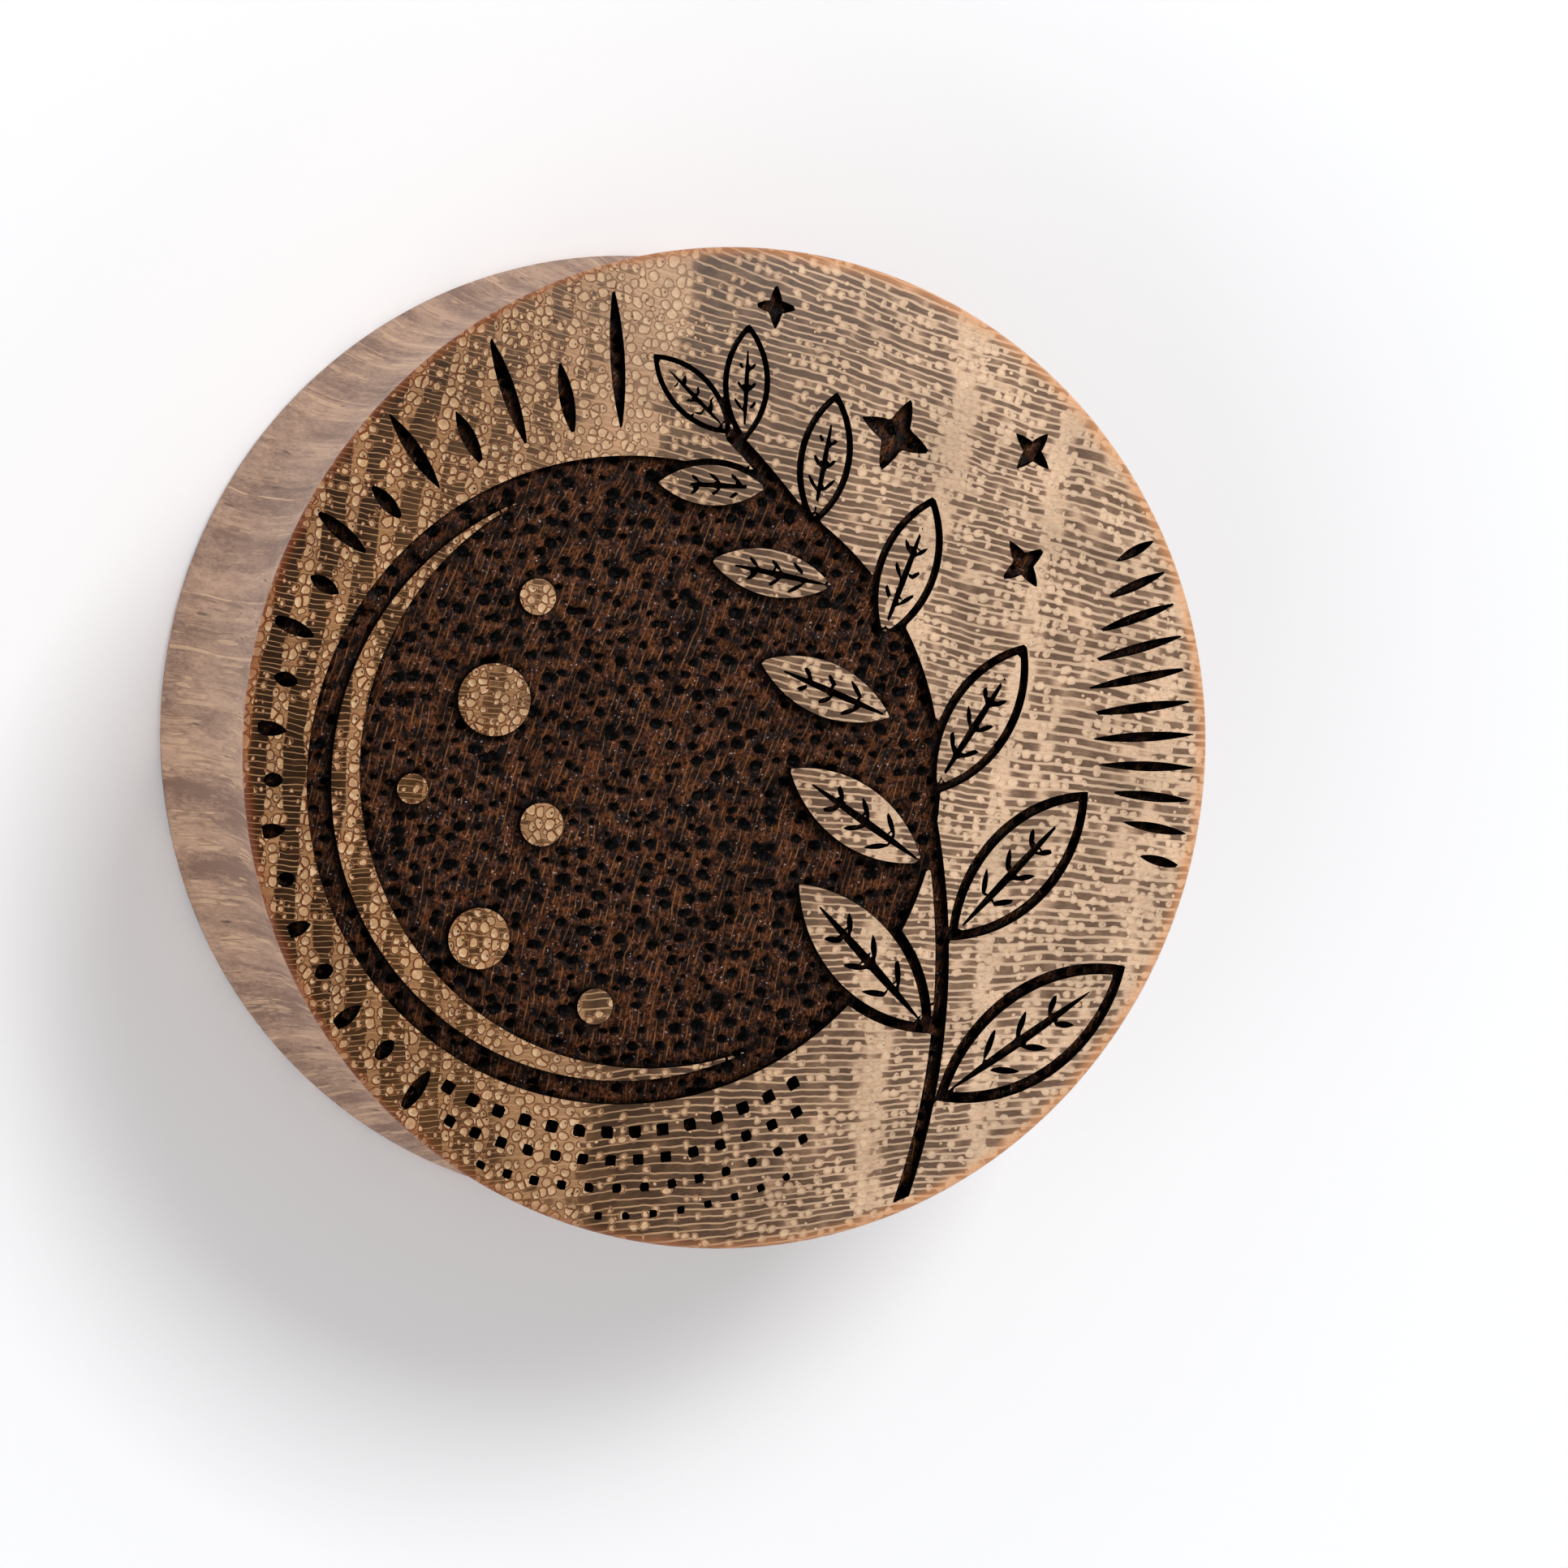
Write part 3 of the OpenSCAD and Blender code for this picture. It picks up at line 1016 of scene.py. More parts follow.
@dataclass(frozen=True)
class Teak:
    """How the wood grew: rings round a far middle, rays, pores and fibres.

    Its groups hold the patterns that the plug's finishes share. Lengths are in
    millimetres, and a pore's own are shares of the pores' pitch. Pairs named an edge, a
    span or a fade say where a mask starts and ends, and pairs named drawn are scales of
    noise. Other pairs are ranges: the value where the term that drives it is 0, and
    where it is 1.
    """

    pith: tuple = (80.0, -9.0, 0.0)
    burn_pith: tuple = (61.0, -21.0, 0.0)
    face_span: float = 17.5
    # Columns: place across the rings, how pale and porous the wood is from there on
    rings: tuple = (
        (-17.5, 1.0), (-5.2, 0.95), (-4.5, 0.27), (-1.0, 0.2), (2.6, 0.3),
        (4.4, 0.25), (4.9, 0.95), (5.4, 0.85), (5.9, 0.28), (8.8, 0.3),
        (9.1, 0.9), (9.5, 0.75), (9.9, 0.33), (14.1, 0.4), (14.7, 0.75), (15.3, 0.45),
    )
    # Columns: place across the rings, distance between rays from there on
    ray_zones: tuple = ((-17.5, 0.165), (-6.2, 0.26), (9.4, 0.36))
    # Columns: layer of the noise, its scale, how far it goes
    ring_sway: tuple = (0.0, 0.16, 0.9)
    ray_sway: tuple = (9.0, 0.22, 0.7)
    fine_sway: tuple = (4.0, 1.9, 0.22)
    band_sway: tuple = (0.0, 0.55, 1.5)
    tissue_sway: tuple = (2.0, 0.45, 0.45)
    # Columns: scale of the noise, how far it goes
    pore_uneven: tuple = (2.3, 0.16)
    # Where the paler outer side begins and ends across the rings, and how far it is raised over the top
    # half. It is partly the wood's own change and partly a painted sheen of the light from the upper
    # right.
    outer_and_sheen_span: tuple = (-10.5, 11.0)
    outer_and_sheen_lean: float = 0.3
    inner_span: tuple = (-8.5, -7.0)
    band_pitch: float = 1.22
    band_edge: tuple = (-0.1, 0.45)
    band_fade: tuple = (-16.8, -9.5)
    band_least: float = 0.58
    ray_spread: float = 0.55
    ray_width: tuple = (-0.05, 0.09)
    ray_widening: float = 0.09
    ray_softness: float = 0.1
    ray_drawn: tuple = (0.5, 1.0)
    dash_drawn: tuple = (1.05, 90.0)
    dash_reach: tuple = (1.0, 2.6)
    grain_drawn: tuple = (5.0, 13.0)
    tone_scale: float = 0.35
    tissue_low: tuple = (0.76, 0.48)
    tissue_high: tuple = (0.88, 0.9)
    fibre_edge: tuple = (0.05, 0.7)
    large_pitch: float = 0.37
    large_crowd: tuple = (0.22, 1.08)
    large_size: tuple = (0.25, 0.42)
    small_pitch: float = 0.27
    small_crowds: tuple = ((0.1, 0.6), (0.4, 1.0))
    small_size: tuple = (0.2, 0.3)
    pore_spread: float = 0.78
    pore_stretch: tuple = (0.85, 1.15)
    pore_sizes: tuple = (0.8, 1.14)
    pore_parting: float = 0.055
    pore_edge: tuple = (-0.05, 0.04)
    pore_lean: float = -0.7
    wall_at: float = 0.02
    wall_edge: tuple = (0.02, 0.09)
    near_edge: tuple = (0.06, 0.16)
    hole_off: tuple = (0.06, 0.22)
    hole_rise: float = 0.25
    hole_edge: tuple = (0.05, 0.13)
    hollow_from: float = 0.72

    def log_group(self) -> Tree:
        """Group that turns a place into distances across and round the tree's rings."""
        graph = new_group("Log frame", {"Vector": "Vector", "Pith": "Vector"}, ("Across", "Round"))
        given = graph.given()
        x, y, _ = graph.split(graph.vector("SUBTRACT", given["Vector"], given["Pith"])["Vector"])
        middle = graph.vector("LENGTH", given["Pith"])["Value"]
        angle = graph.math("ARCTAN2", y, x * -1.0)
        return graph.give(Across=middle - graph.length(x, y), Round=angle * middle)

    def pore_group(self) -> Tree:
        """Group that draws pores of one size.

        It is given the share of places that hold a pore as Crowd, and a pore's radius as
        Size, a share of the pitch. It gives masks of the pores' insides, their walls, the
        wood near them and holes in them, a shading across each pore, and a random number.

        Returns:
            The group.
        """
        inputs = {"Vector": "Vector", "Pitch": "Float", "Crowd": "Float", "Size": "Float"}
        graph = new_group("Teak pores", inputs, ("Pore", "Wall", "Near", "Hole", "Shade", "Pick"))
        given = graph.given()
        at = graph.scaled(given["Vector"], 1.0 / given["Pitch"])
        cells = graph.cells("F1", self.pore_spread, Vector=at)
        seams = graph.cells("DISTANCE_TO_EDGE", self.pore_spread, Vector=at)
        here, size_pick, hole_pick = graph.terms(graph.add("SeparateColor", cells["Color"])).values()
        x, y, _ = graph.split(graph.vector("SUBTRACT", at, cells["Position"])["Vector"])
        size = given["Size"] * size_pick.between(*self.pore_sizes)
        reach = graph.length(x * hole_pick.between(*self.pore_stretch), y)
        gap = reach - size + graph.sway(at, *self.pore_uneven)
        gap = graph.greater(gap, self.pore_parting - seams["Distance"])
        rim = graph.math("ABSOLUTE", gap - self.wall_at)
        present = graph.math("LESS_THAN", here, given["Crowd"])
        way_x = x - size_pick.between(*self.hole_off)
        way_y = y + (here - 0.5) * self.hole_rise
        hole = graph.length(way_x, way_y).fade(*self.hole_edge)
        hollow = graph.math("GREATER_THAN", hole_pick, self.hollow_from)
        return graph.give(
            Pore=present * gap.fade(*self.pore_edge),
            Wall=present * rim.fade(*self.wall_edge),
            Near=present * gap.fade(*self.near_edge),
            Hole=present * (hole * hollow),
            Shade=(x * self.pore_lean + y * self.pore_lean) / size,
            Pick=size_pick,
        )

    def zones(self, graph: Graph, across: Term, table: tuple, between: str = "LINEAR") -> Term:
        """A curve through a table of places across the rings and values there."""
        half = self.face_span
        stops = [((place + half) / (2 * half), value) for place, value in table]
        return graph.ramp((across + half) / (2 * half), stops, between)

    def bands(self, graph: Graph, across: Term, sway: Term) -> Term:
        """Even rings of the inner wood, which never fade out altogether towards its middle."""
        wave = graph.math("SINE", across * (2 * math.pi / self.band_pitch)) + sway
        least = across.steps(*self.band_fade) * self.band_least
        return graph.greater(wave.steps(*self.band_edge), least)

    def pore_masks(self, graph: Graph, across: Term, around: Term, ring: Term, inner: Term) -> Terms:
        """Masks of the large pores laid over the small ones.

        Args:
            graph: The graph to draw in.
            across: Place across the rings.
            around: Place round them.
            ring: How pale and porous the wood is.
            inner: Where the inner wood is.

        Returns:
            The outputs of the pores' group for both together.
        """
        in_inner, in_ring = self.small_crowds
        pores = self.pore_group()
        large = graph.group(
            pores, Vector=graph.join(across, around), Pitch=self.large_pitch,
            Crowd=ring.between(*self.large_crowd), Size=ring.between(*self.large_size),
        )
        small = graph.group(
            pores, Vector=graph.join(around, across), Pitch=self.small_pitch,
            Crowd=inner.between(*in_inner) * ring.between(*in_ring),
            Size=ring.between(*self.small_size),
        )
        weights = {"Shade": large["Pore"], "Pick": large["Pore"], "Wall": 1.0}
        clear = 1.0 - large["Pore"]
        both = {name: small[name] * clear + large[name] * weight for name, weight in weights.items()}
        wide = {name: graph.greater(large[name], small["Pore"]) for name in ("Pore", "Near")}
        return {**both, **wide, "Hole": large["Hole"]}

    def figure_group(self, log: Tree) -> Tree:
        """Group with the masks of the wood's figure at a place.

        Args:
            log: The group that log_group made.

        Returns:
            The group.
        """
        masks = ("Tissue", "Fibre", "Ray", "Grain", "Tone", "Outer")
        pore_masks = ("Pore", "Wall", "Hole", "Shade", "Pick")
        graph = new_group("Teak figure", {"Vector": "Vector"}, masks + pore_masks)
        x, y, _ = graph.split(graph.scaled(graph.given()["Vector"], 1 / MM))
        flat = graph.join(x, y)

        def sway(layer: float, scale: float, reach: float) -> Term:
            """Noise over the face, from a layer of its own."""
            return graph.sway(graph.join(x, y, layer), scale, reach)

        fine = sway(*self.fine_sway)
        grown = graph.group(log, Vector=flat, Pith=self.pith)
        across = grown["Across"] + (sway(*self.ring_sway) + fine)
        around = grown["Round"] + (sway(*self.ray_sway) + fine * 0.5)
        # The outer mask is partly the wood's own change and partly a painted sheen of the light from the
        # upper right, raised over the top half
        leant = across + graph.greater(y, 0.0) * self.outer_and_sheen_lean
        outer = leant.steps(*self.outer_and_sheen_span)

        inner = across.fade(*self.inner_span)
        zones = self.zones(graph, across, self.rings)
        ring = inner.between(zones, self.bands(graph, across, sway(*self.band_sway)))

        row = around / self.zones(graph, across, self.ray_zones, "CONSTANT")
        edges = graph.cells("DISTANCE_TO_EDGE", self.ray_spread, W=row)
        faint = graph.noise(graph.drawn((across, row), self.ray_drawn), 1.0)
        width = faint.between(*self.ray_width) + outer * self.ray_widening
        ray = edges["Distance"].fade(width, width + self.ray_softness)

        lane = graph.cells("F1", self.ray_spread, W=row)["Color"]
        dashes = graph.noise(graph.drawn((across, lane), self.dash_drawn), 1.0) - 0.5
        dashes = dashes * outer.between(*self.dash_reach)
        pale = dashes + sway(*self.tissue_sway) + ring
        low, high = outer.between(*self.tissue_low), outer.between(*self.tissue_high)
        pores = self.pore_masks(graph, across, around, ring, inner)
        tissue = graph.greater(pale.steps(low, high), pores.pop("Near"))
        return graph.give(
            Tissue=tissue, Ray=ray, Outer=outer,
            Fibre=pale.steps(*self.fibre_edge), Tone=graph.noise(flat, self.tone_scale, 3.0),
            Grain=graph.noise(graph.drawn((across, around), self.grain_drawn), 1.0, 2.0), **pores,
        )


@dataclass(frozen=True)
class Finish:
    """A finish of the wood: its name, how glossy it is, and how high its fine relief is.

    A colour's weight says how much of it lies over the colours before it. Pairs named an
    edge or breaks say where a mask starts and ends. Pairs named weights or levels are
    ranges: the value where the term that drives it is 0, and where it is 1. Scales of
    noise are to the millimetre.
    """

    name: str
    roughness: float
    gloss: float
    relief: float

    def start(self) -> tuple[bpy.types.Material, Graph, Term]:
        """Makes the material, and finds the place on the piece, in metres."""
        made = bpy.data.materials.new(self.name)
        made.use_nodes = True
        graph = Graph(made.node_tree)
        return made, graph, graph.terms(graph.add("TexCoord"))["Object"]

    def dress(self, graph: Graph, colour: Term, height: Term) -> None:
        """Feeds the shader its colour, its gloss and a fine relief."""
        bump = graph.feed(graph.add("Bump"), Height=height, Distance=self.relief * MM, Strength=1.0)
        graph.feed(
            graph.tree.nodes["Principled BSDF"], Base_Color=colour, Normal=graph.terms(bump)["Normal"],
            Roughness=self.roughness, Specular_IOR_Level=self.gloss,
        )


@dataclass(frozen=True)
class PolishedFace(Finish):
    """Polished end grain of the face and the back, reddish where the rim is burnished.

    Colours and weights in pairs are for the left and for the paler right side of the
    face. That side is paler partly in the wood itself and partly from a painted sheen of
    the light from the upper right. The rim's band is given by how far its two edges lie
    inside the rim, and its ragged edge by the scale and the reach of the noise.
    """

    name: str = "polished_end_grain"
    roughness: float = 0.34
    gloss: float = 0.14
    relief: float = 0.006
    fibre: tuple = (rgb(47, 28, 14), rgb(108, 84, 67))
    olive: tuple = (rgb(84, 56, 31), rgb(138, 110, 88))
    tissue: tuple = (rgb(146, 105, 69), rgb(209, 174, 143))
    ray: tuple = (rgb(171, 130, 91), rgb(215, 182, 152))
    pore: tuple = (rgb(177, 138, 100), rgb(217, 189, 158))
    rim: tuple = (rgb(136, 66, 28), rgb(228, 158, 104))
    glint: Colour = rgb(208, 184, 148)
    wall: Colour = rgb(96, 50, 21)
    # Near black painted as the shade inside the pores' small open holes
    hole: Colour = rgb(22, 12, 7)
    ray_weight: float = 0.8
    pore_weights: tuple = (1.0, 0.38)
    wall_weights: tuple = (1.0, -0.1)
    wall_least: float = 0.1
    hole_weights: tuple = (0.95, 0.35)
    rim_weights: tuple = (0.66, 0.54)
    grain_levels: tuple = (0.5, 1.5)
    tone_levels: tuple = (0.6, 1.4)
    pore_levels: tuple = (0.85, 1.15)
    pore_shade: float = 0.14
    mottle_scale: float = 7.0
    mottle_reach: float = 0.9
    glint_shade: float = 0.22
    glint_edge: tuple = (0.56, 0.7)
    glint_weight: float = 0.6
    rim_r: float = 16.9
    rim_band: tuple = (0.45, -0.05)
    rim_widening: float = 0.22
    rim_ragged: tuple = (0.9, 0.35)
    hole_depth: float = 2.0

    def material(self, figure: Tree) -> bpy.types.Material:
        """Makes the material.

        Args:
            figure: The wood's figure.

        Returns:
            The material.
        """
        made, graph, place = self.start()
        wood = graph.group(figure, Vector=place)
        # outer also carries a painted sheen of the light from the upper right, so the right side's
        # colours are partly painted highlight
        outer, shade = wood["Outer"], wood["Shade"]
        fibre, olive, tissue, ray, pore, rim = (
            graph.mix(outer, *pair)
            for pair in (self.fibre, self.olive, self.tissue, self.ray, self.pore, self.rim)
        )
        mottle = graph.noise(place, self.mottle_scale / MM, 2.0)
        level = wood["Pick"].between(*self.pore_levels) + (mottle - 0.5) * self.mottle_reach
        inside = graph.dim(pore, shade * self.pore_shade + level)
        glint = (shade * self.glint_shade + mottle).steps(*self.glint_edge)
        inside = graph.coats(inside, (self.glint, glint, self.glint_weight))

        colour = graph.mix(wood["Tissue"], graph.mix(wood["Fibre"], fibre, olive), tissue)
        colour = graph.dim(colour, wood["Grain"].between(*self.grain_levels))
        wall_weight = graph.greater(outer.between(*self.wall_weights), self.wall_least)
        colour = graph.coats(
            colour,
            (ray, wood["Ray"], self.ray_weight),
            (inside, wood["Pore"], outer.between(*self.pore_weights)),
            (self.wall, wood["Wall"], wall_weight),
            # Painted shade inside the pores' holes
            (self.hole, wood["Hole"], outer.between(*self.hole_weights)),
        )
        colour = graph.dim(colour, wood["Tone"].between(*self.tone_levels))

        x, y, _ = graph.split(place)
        scale, reach = self.rim_ragged
        ragged = graph.length(x, y) + graph.sway(place, scale / MM, reach * MM, 2.0)
        ragged = ragged + outer * (self.rim_widening * MM)
        edge = ragged.steps(*((self.rim_r - inset) * MM for inset in self.rim_band))
        colour = graph.coats(colour, (rim, edge, outer.between(*self.rim_weights)))
        self.dress(graph, colour, wood["Tissue"] - (wood["Hole"] * self.hole_depth + wood["Wall"]))
        return made


@dataclass(frozen=True)
class BurntCut(Finish):
    """Laser burnt floor and walls of the engraving: dark, ribbed and full of open pores.

    Pairs named drawn are scales across and along the ridges. Patches are given by the
    scale and the detail of their noise, and where in it they start and end. The bend,
    the sparkle and the pores' ragged edge are scale, reach and detail of a noise.
    """

    name: str = "burnt_engraving"
    roughness: float = 0.45
    gloss: float = 0.06
    relief: float = 0.04
    floor: Colour = rgb(24, 14, 10)
    brown: Colour = rgb(70, 38, 19)
    slate: Colour = rgb(52, 45, 48)
    ridge: Colour = rgb(138, 90, 56)
    # Black of the floor's pits, partly char and partly painted shade in them; it is also the colour of
    # the painted shade along the walls
    pore: Colour = rgb(2, 1, 1)
    wall: Colour = rgb(7, 4, 3)
    # Whitish painted glints, highlights on the char
    painted_glint: Colour = rgb(180, 168, 168)
    bend: tuple = (0.4, 0.5, 2.0)
    ridge_pitch: float = 0.24
    ridge_spread: float = 0.75
    ridge_edge: tuple = (0.02, 0.16)
    ridge_drawn: tuple = (3.4, 2.3)
    ridge_breaks: tuple = (0.41, 0.56)
    ridge_weight: float = 0.85
    tint_drawn: tuple = (6.0, 2.5)
    tint_levels: tuple = (0.1, 1.9)
    grit_drawn: tuple = (11.0, 6.0)
    grit_levels: tuple = (-1.2, 3.4)
    grit_least: float = 0.12
    sparkle: tuple = (11.0, 4.5, 2.0)
    brown_patches: tuple = (2.6, 4.0, 0.38, 0.62)
    slate_at: tuple = (7.0, 3.0, 0.0)
    slate_patches: tuple = (5.5, 3.0, 0.5, 0.64)
    slate_weight: float = 0.28
    painted_glint_patches: tuple = (11.0, 1.0, 0.7, 0.76)
    painted_glint_weight: float = 0.75
    blot_patches: tuple = (1.3, 3.0, 0.36, 0.6)
    blot_levels: tuple = (0.62, 1.17)
    pore_ragged: tuple = (3.6, 0.42, 3.0)
    pore_edge: tuple = (-0.08, 0.05)
    # Painted shade on the floor along the foot of every wall, by the distance from it
    wall_shade_edge: tuple = (1.0, 1.26)
    wall_shade_weight: float = 0.8
    wall_edge: tuple = (0.9, 0.999)

    def material(self, log: Tree, pith: tuple) -> bpy.types.Material:
        """Makes the material.

        Args:
            log: The group that tells places across and round the rings.
            pith: Middle of the rings that the ridges follow.

        Returns:
            The material.
        """
        made, graph, place = self.start()
        place = graph.scaled(place, 1 / MM)
        grown = graph.group(log, Vector=place, Pith=pith)
        parts = (grown["Across"] + graph.sway(place, *self.bend), grown["Round"])
        lines = graph.cells("DISTANCE_TO_EDGE", self.ridge_spread, W=parts[0] / self.ridge_pitch)
        broken = graph.patches(graph.drawn(parts, self.ridge_drawn), 1.0, 2.0, *self.ridge_breaks)
        ridge = lines["Distance"].fade(*self.ridge_edge) * broken
        grit = graph.noise(graph.drawn(parts, self.grit_drawn), 1.0, 3.0)

        colour = graph.mix(graph.patches(place, *self.brown_patches), self.floor, self.brown)
        cold = graph.vector("ADD", place, self.slate_at)["Vector"]
        cold = graph.patches(cold, *self.slate_patches)
        colour = graph.coats(colour, (self.slate, cold, self.slate_weight))
        level = grit.between(*self.grit_levels) + graph.sway(place, *self.sparkle)
        colour = graph.dim(colour, graph.greater(level, self.grit_least))
        tint = graph.noise(graph.drawn(parts, self.tint_drawn), 1.0, 2.0)
        tint = graph.dim(self.ridge, tint.between(*self.tint_levels))
        # Painted glints scattered over the floor
        painted_glints = graph.patches(place, *self.painted_glint_patches)
        colour = graph.coats(
            colour, (tint, ridge, self.ridge_weight), (self.painted_glint, painted_glints, self.painted_glint_weight)
        )
        blots = graph.patches(place, *self.blot_patches)
        colour = graph.dim(colour, blots.between(*self.blot_levels))

        gap = graph.spot_gap() + graph.sway(place, *self.pore_ragged)
        depth = graph.attribute(DEPTH)["Fac"]
        colour = graph.coats(
            colour,
            # Pits painted black, partly char and partly painted shade
            (self.pore, gap.fade(*self.pore_edge), 1.0),
            # Painted shade along the walls' foot, in the pits' black
            (self.pore, depth.fade(*self.wall_shade_edge), self.wall_shade_weight),
            (self.wall, depth.fade(*self.wall_edge), 1.0),
        )
        self.dress(graph, colour, ridge + grit)
        return made


@dataclass(frozen=True)
class TurnedBarrel(Finish):
    """Sanded long grain of the barrel, where rays and pores show cut lengthwise.

    Tables named streaks hold scales across and along the axis, and the noise's detail.
    Bands are given by how far their two edges lie inside the rims.
    """

    name: str = "sanded_long_grain"
    roughness: float = 0.5
    gloss: float = 0.3
    relief: float = 0.02
    dark: Colour = rgb(120, 88, 69)
    pale: Colour = rgb(180, 143, 117)
    fleck: Colour = rgb(202, 165, 130)
    slit: Colour = rgb(76, 51, 37)
    seam: Colour = rgb(110, 76, 50)
    painted_sheen: Colour = rgb(178, 154, 139)
    # Painted sheen of light along the barrel next to the face's rim
    rim: Colour = rgb(160, 92, 48)
    look_up_r: float = 34.0
    drift_streaks: tuple = ((0.3, 0.14, 2.0), (0.3, 0.18, 2.0))
    drift_reach: float = 0.9
    tone_streaks: tuple = ((0.7, 0.05, 3.0), (5.0, 0.25, 3.0), (14.0, 1.6, 2.0))
    tone_reaches: tuple = (2.6, 1.3, 1.2)
    tone_shift: float = 0.35
    tissue_weight: float = 0.25
    mark_streaks: tuple = (3.0, 0.3, 2.0)
    mark_edge: tuple = (0.42, 0.56)
    seam_weight: float = 0.45
    fleck_weights: tuple = (0.1, 0.7)
    line_streaks: tuple = (4.0, 0.5, 1.0)
    line_edge: tuple = (0.48, 0.58)
    slit_edge: tuple = (-0.05, 0.02)
    slit_weight: float = 0.8
    painted_sheen_band: tuple = (1.1, 0.2)
    painted_sheen_weight: float = 0.55
    rim_band: tuple = (0.3, 0.05)
    rim_weight: float = 0.75

    def material(self, figure: Tree, height: float) -> bpy.types.Material:
        """Makes the material.

        The figure is looked up beside the place, by a way that drifts slowly along the
        axis, so a pore runs a little aslant and ends where the barrel's curve leaves it.

        Args:
            figure: The wood's figure.
            height: Distance between the rims, in millimetres.

        Returns:
            The material.
        """
        made, graph, place = self.start()
        x, y, z = graph.split(place)

        def streaks(fine: float, long: float, detail: float) -> Term:
            """Noise drawn out along the axis, with its scales to the millimetre."""
            return graph.noise(graph.drawn((x, y, z), (fine / MM, fine / MM, long / MM)), 1.0, detail)

        unrolled = graph.scaled(place, self.look_up_r * MM / graph.length(x, y))
        drift = ((streaks(*table) - 0.5) * (self.drift_reach * MM) for table in self.drift_streaks)
        beside = graph.vector("ADD", unrolled, graph.join(*drift))["Vector"]
        wood = graph.group(figure, Vector=beside)

        noises = [streaks(*table) for table in self.tone_streaks]
        broad, fine, hair = ((noise - 0.5) * reach for noise, reach in zip(noises, self.tone_reaches))
        tone = wood["Tissue"] * self.tissue_weight + broad + (fine + hair)
        colour = graph.mix(tone + self.tone_shift, self.dark, self.pale)

        marks = streaks(*self.mark_streaks).steps(*self.mark_edge)
        holes = streaks(*self.line_streaks).steps(*self.line_edge)
        groove = graph.spot_gap().fade(*self.slit_edge)
        slit = graph.greater(groove, wood["Hole"] * holes) * self.slit_weight
        top, half = height * MM, height / 2 * MM
        # Painted sheen in a band just below the face's rim
        painted_sheen = z.steps(*(top - inset * MM for inset in self.painted_sheen_band))
        off_middle = graph.math("ABSOLUTE", z - half)
        edge = off_middle.steps(*(half - inset * MM for inset in self.rim_band))
        colour = graph.coats(
            colour,
            (self.seam, wood["Wall"] * marks, self.seam_weight),
            (self.fleck, wood["Pore"] * marks, wood["Pick"].between(*self.fleck_weights)),
            (self.slit, slit, 1.0),
            (self.painted_sheen, painted_sheen, self.painted_sheen_weight),
            (self.rim, edge, self.rim_weight),
        )
        self.dress(graph, colour, noises[1] - slit)
        return made


def add_object(name: str, data: bpy.types.ID) -> bpy.types.Object:
    """Adds an object to the scene."""
    made = bpy.data.objects.new(name, data)
    bpy.context.scene.collection.objects.link(made)
    return made


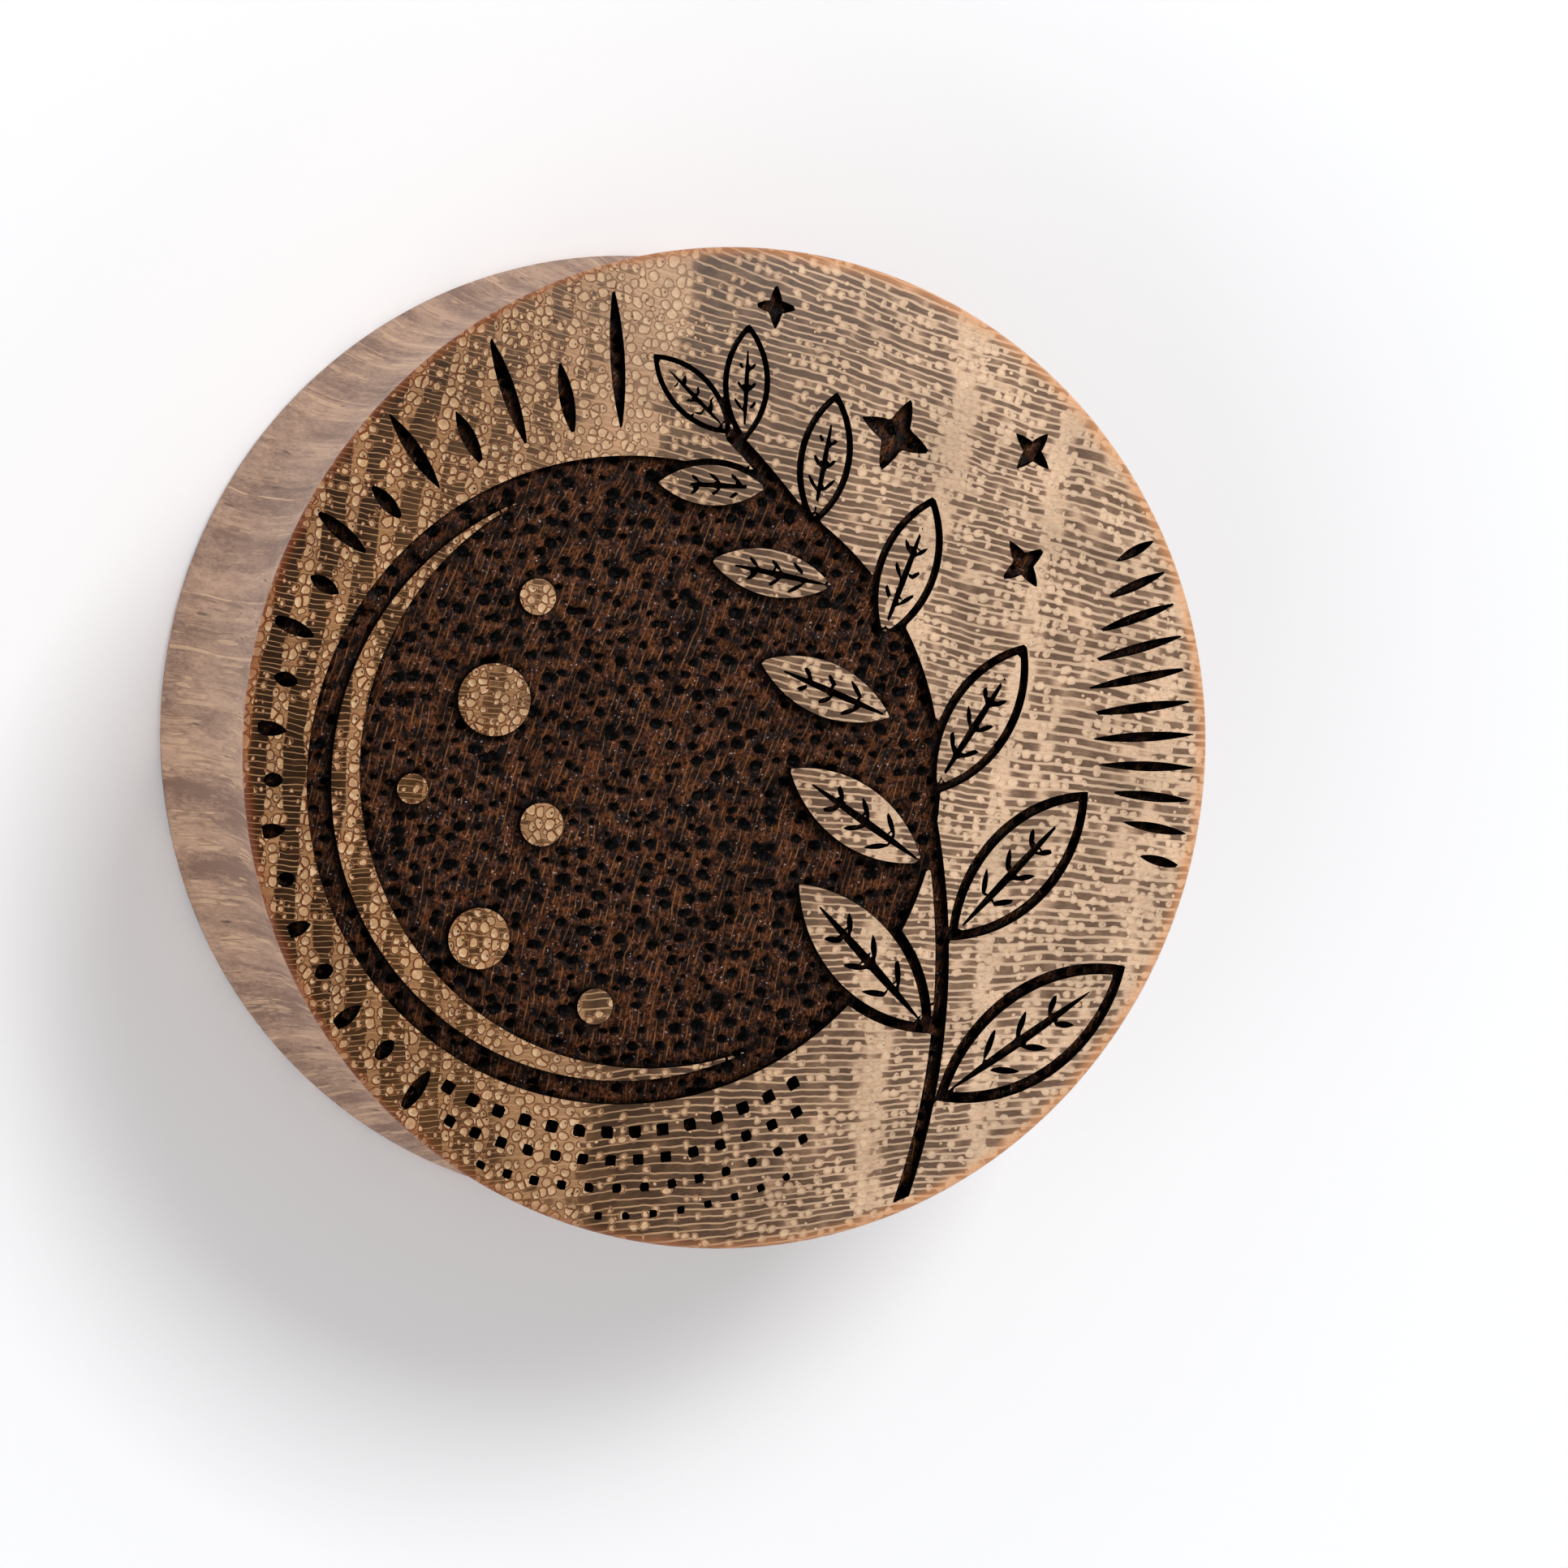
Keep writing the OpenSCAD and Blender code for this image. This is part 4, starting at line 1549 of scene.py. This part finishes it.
@dataclass(frozen=True)
class Studio:
    """Pale floor, soft light, and the camera at the photograph's angle to the plug.

    Angles are in degrees. Directions are in the plug's frame: x to the right and y up on
    the face, z out of it.
    """

    rim_r: float
    rim_z: float
    off_axis: float = 17.0
    above: float = 3.3
    reach: float = 12.87
    shift_right: float = -0.095
    shift_down: float = -0.067
    focal_px: float = 8000
    picture_px: float = 1932
    sensor: float = 36.0
    sight: tuple = (0.01, 10.0)
    # Columns: direction from the plug, distance and side in metres, watts
    key: tuple = ((0.25, 0.5, 0.85), 0.55, 0.2, 1.56)
    fill: tuple = ((-0.8, -0.45, 0.65), 0.60, 0.5, 0.86)
    room: Colour = rgb(250, 252, 255)
    # Columns: height on a unit ball round the plug, how bright the room is from there on
    room_levels: tuple = ((0.0, 1.04), (0.55, 1.04), (0.85, 0.13))
    paper: Colour = rgb(249, 249, 250)
    paper_roughness: float = 0.9
    floor_size: float = 3.0
    floor_lift: float = 0.03

    def camera(self) -> bpy.types.Object:
        """Sets the camera by where it sees the front rim.

        In the camera's own axes, x right, y down and z forward, the rim's middle lies at
        shift_right, shift_down and reach, in rim radii. The face's normal is turned from
        the camera by off_axis to the right and above downward.

        Returns:
            The camera.
        """
        yaw, pitch = math.radians(self.off_axis), math.radians(self.above)
        level = math.cos(pitch)
        normal = Vector((math.sin(yaw) * level, math.sin(pitch), -math.cos(yaw) * level))
        up = Vector((0, -1, 0))
        up = (up - normal * up.dot(normal)).normalized()
        right = up.cross(normal)
        to_plug = Matrix((right, up, normal))
        rim = Vector((self.shift_right, self.shift_down, self.reach)) * self.rim_r
        eye = Vector((0, 0, self.rim_z)) - to_plug @ rim
        turn = to_plug @ Matrix(((1, 0, 0), (0, -1, 0), (0, 0, -1)))
        data = bpy.data.cameras.new("camera")
        data.sensor_width = self.sensor
        data.lens = self.focal_px / self.picture_px * self.sensor
        data.clip_start, data.clip_end = self.sight
        made = add_object("camera", data)
        made.matrix_world = Matrix.Translation(eye) @ turn.to_4x4()
        bpy.context.scene.camera = made
        return made

    def lamp(self, name: str, towards: tuple, distance: float, size: float, power: float) -> None:
        """Adds a soft square light that looks at the plug.

        Args:
            name: The light's name.
            towards: Direction of the light from the plug.
            distance: Distance from the plug.
            size: Side of the light.
            power: Watts.
        """
        data = bpy.data.lights.new(name, "AREA")
        data.size = size
        data.energy = power
        made = add_object(name, data)
        made.location = Vector(towards).normalized() * distance
        made.rotation_euler = Vector(towards).to_track_quat("Z", "Y").to_euler()

    def light(self) -> None:
        """Adds the lights, and a room that is darker overhead than round about."""
        self.lamp("key", *self.key)
        self.lamp("fill", *self.fill)
        world = bpy.data.worlds.new("room")
        world.use_nodes = True
        graph = Graph(world.node_tree)
        _, _, height = graph.split(graph.terms(graph.add("TexCoord"))["Generated"])
        colour = graph.dim(self.room, graph.ramp(height, self.room_levels))
        graph.feed(world.node_tree.nodes["Background"], Color=colour, Strength=1.0)
        bpy.context.scene.world = world
        bpy.context.scene.view_settings.view_transform = "Standard"

    def floor(self) -> bpy.types.Object:
        """Lays the floor a hair above the plug's back, which so shows from below."""
        half, lift = self.floor_size / 2, self.floor_lift * MM
        data = bpy.data.meshes.new("floor")
        corners = [(-half, -half, lift), (half, -half, lift), (half, half, lift), (-half, half, lift)]
        data.from_pydata(corners, [], [(0, 1, 2, 3)])
        paper = bpy.data.materials.new("white_paper")
        paper.use_nodes = True
        shader = paper.node_tree.nodes["Principled BSDF"]
        Graph(paper.node_tree).feed(shader, Base_Color=self.paper, Roughness=self.paper_roughness)
        data.materials.append(paper)
        made = add_object("floor", data)
        return made


def groove(record: dict) -> dict:
    """Sizes of the barrel's groove, in millimetres, from the frame's own mount."""
    return next(mount["dims"] for mount in record["mounts"] if mount["name"] == "ear_groove")


def main() -> None:
    """Builds the plug, its finishes and the studio, and reports each."""
    sizes = groove(frame["record"])
    plug = Plug(gauge_r=sizes["r_mm"], rim_to_rim=sizes["length_mm"])
    design = Engraving(face_r=plug.flare_r)
    teak = Teak()
    log = teak.log_group()
    figure = teak.figure_group(log)
    finishes = [
        PolishedFace(rim_r=plug.flare_r).material(figure),
        BurntCut().material(log, teak.burn_pith),
        TurnedBarrel().material(figure, plug.rim_to_rim),
    ]
    piece = plug.build(design, finishes)
    triangles = sum(len(face.vertices) - 2 for face in piece.data.polygons)
    LOG.info("%s: %d triangles", piece.name, triangles)
    studio = Studio(rim_r=plug.flare_r * MM, rim_z=plug.rim_to_rim * MM)
    studio.floor()
    studio.light()
    studio.camera()
    LOG.info("studio: floor, lights and camera")


if __name__ == "__main__":
    logging.basicConfig(level=logging.INFO, format="%(name)s: %(message)s")
    main()
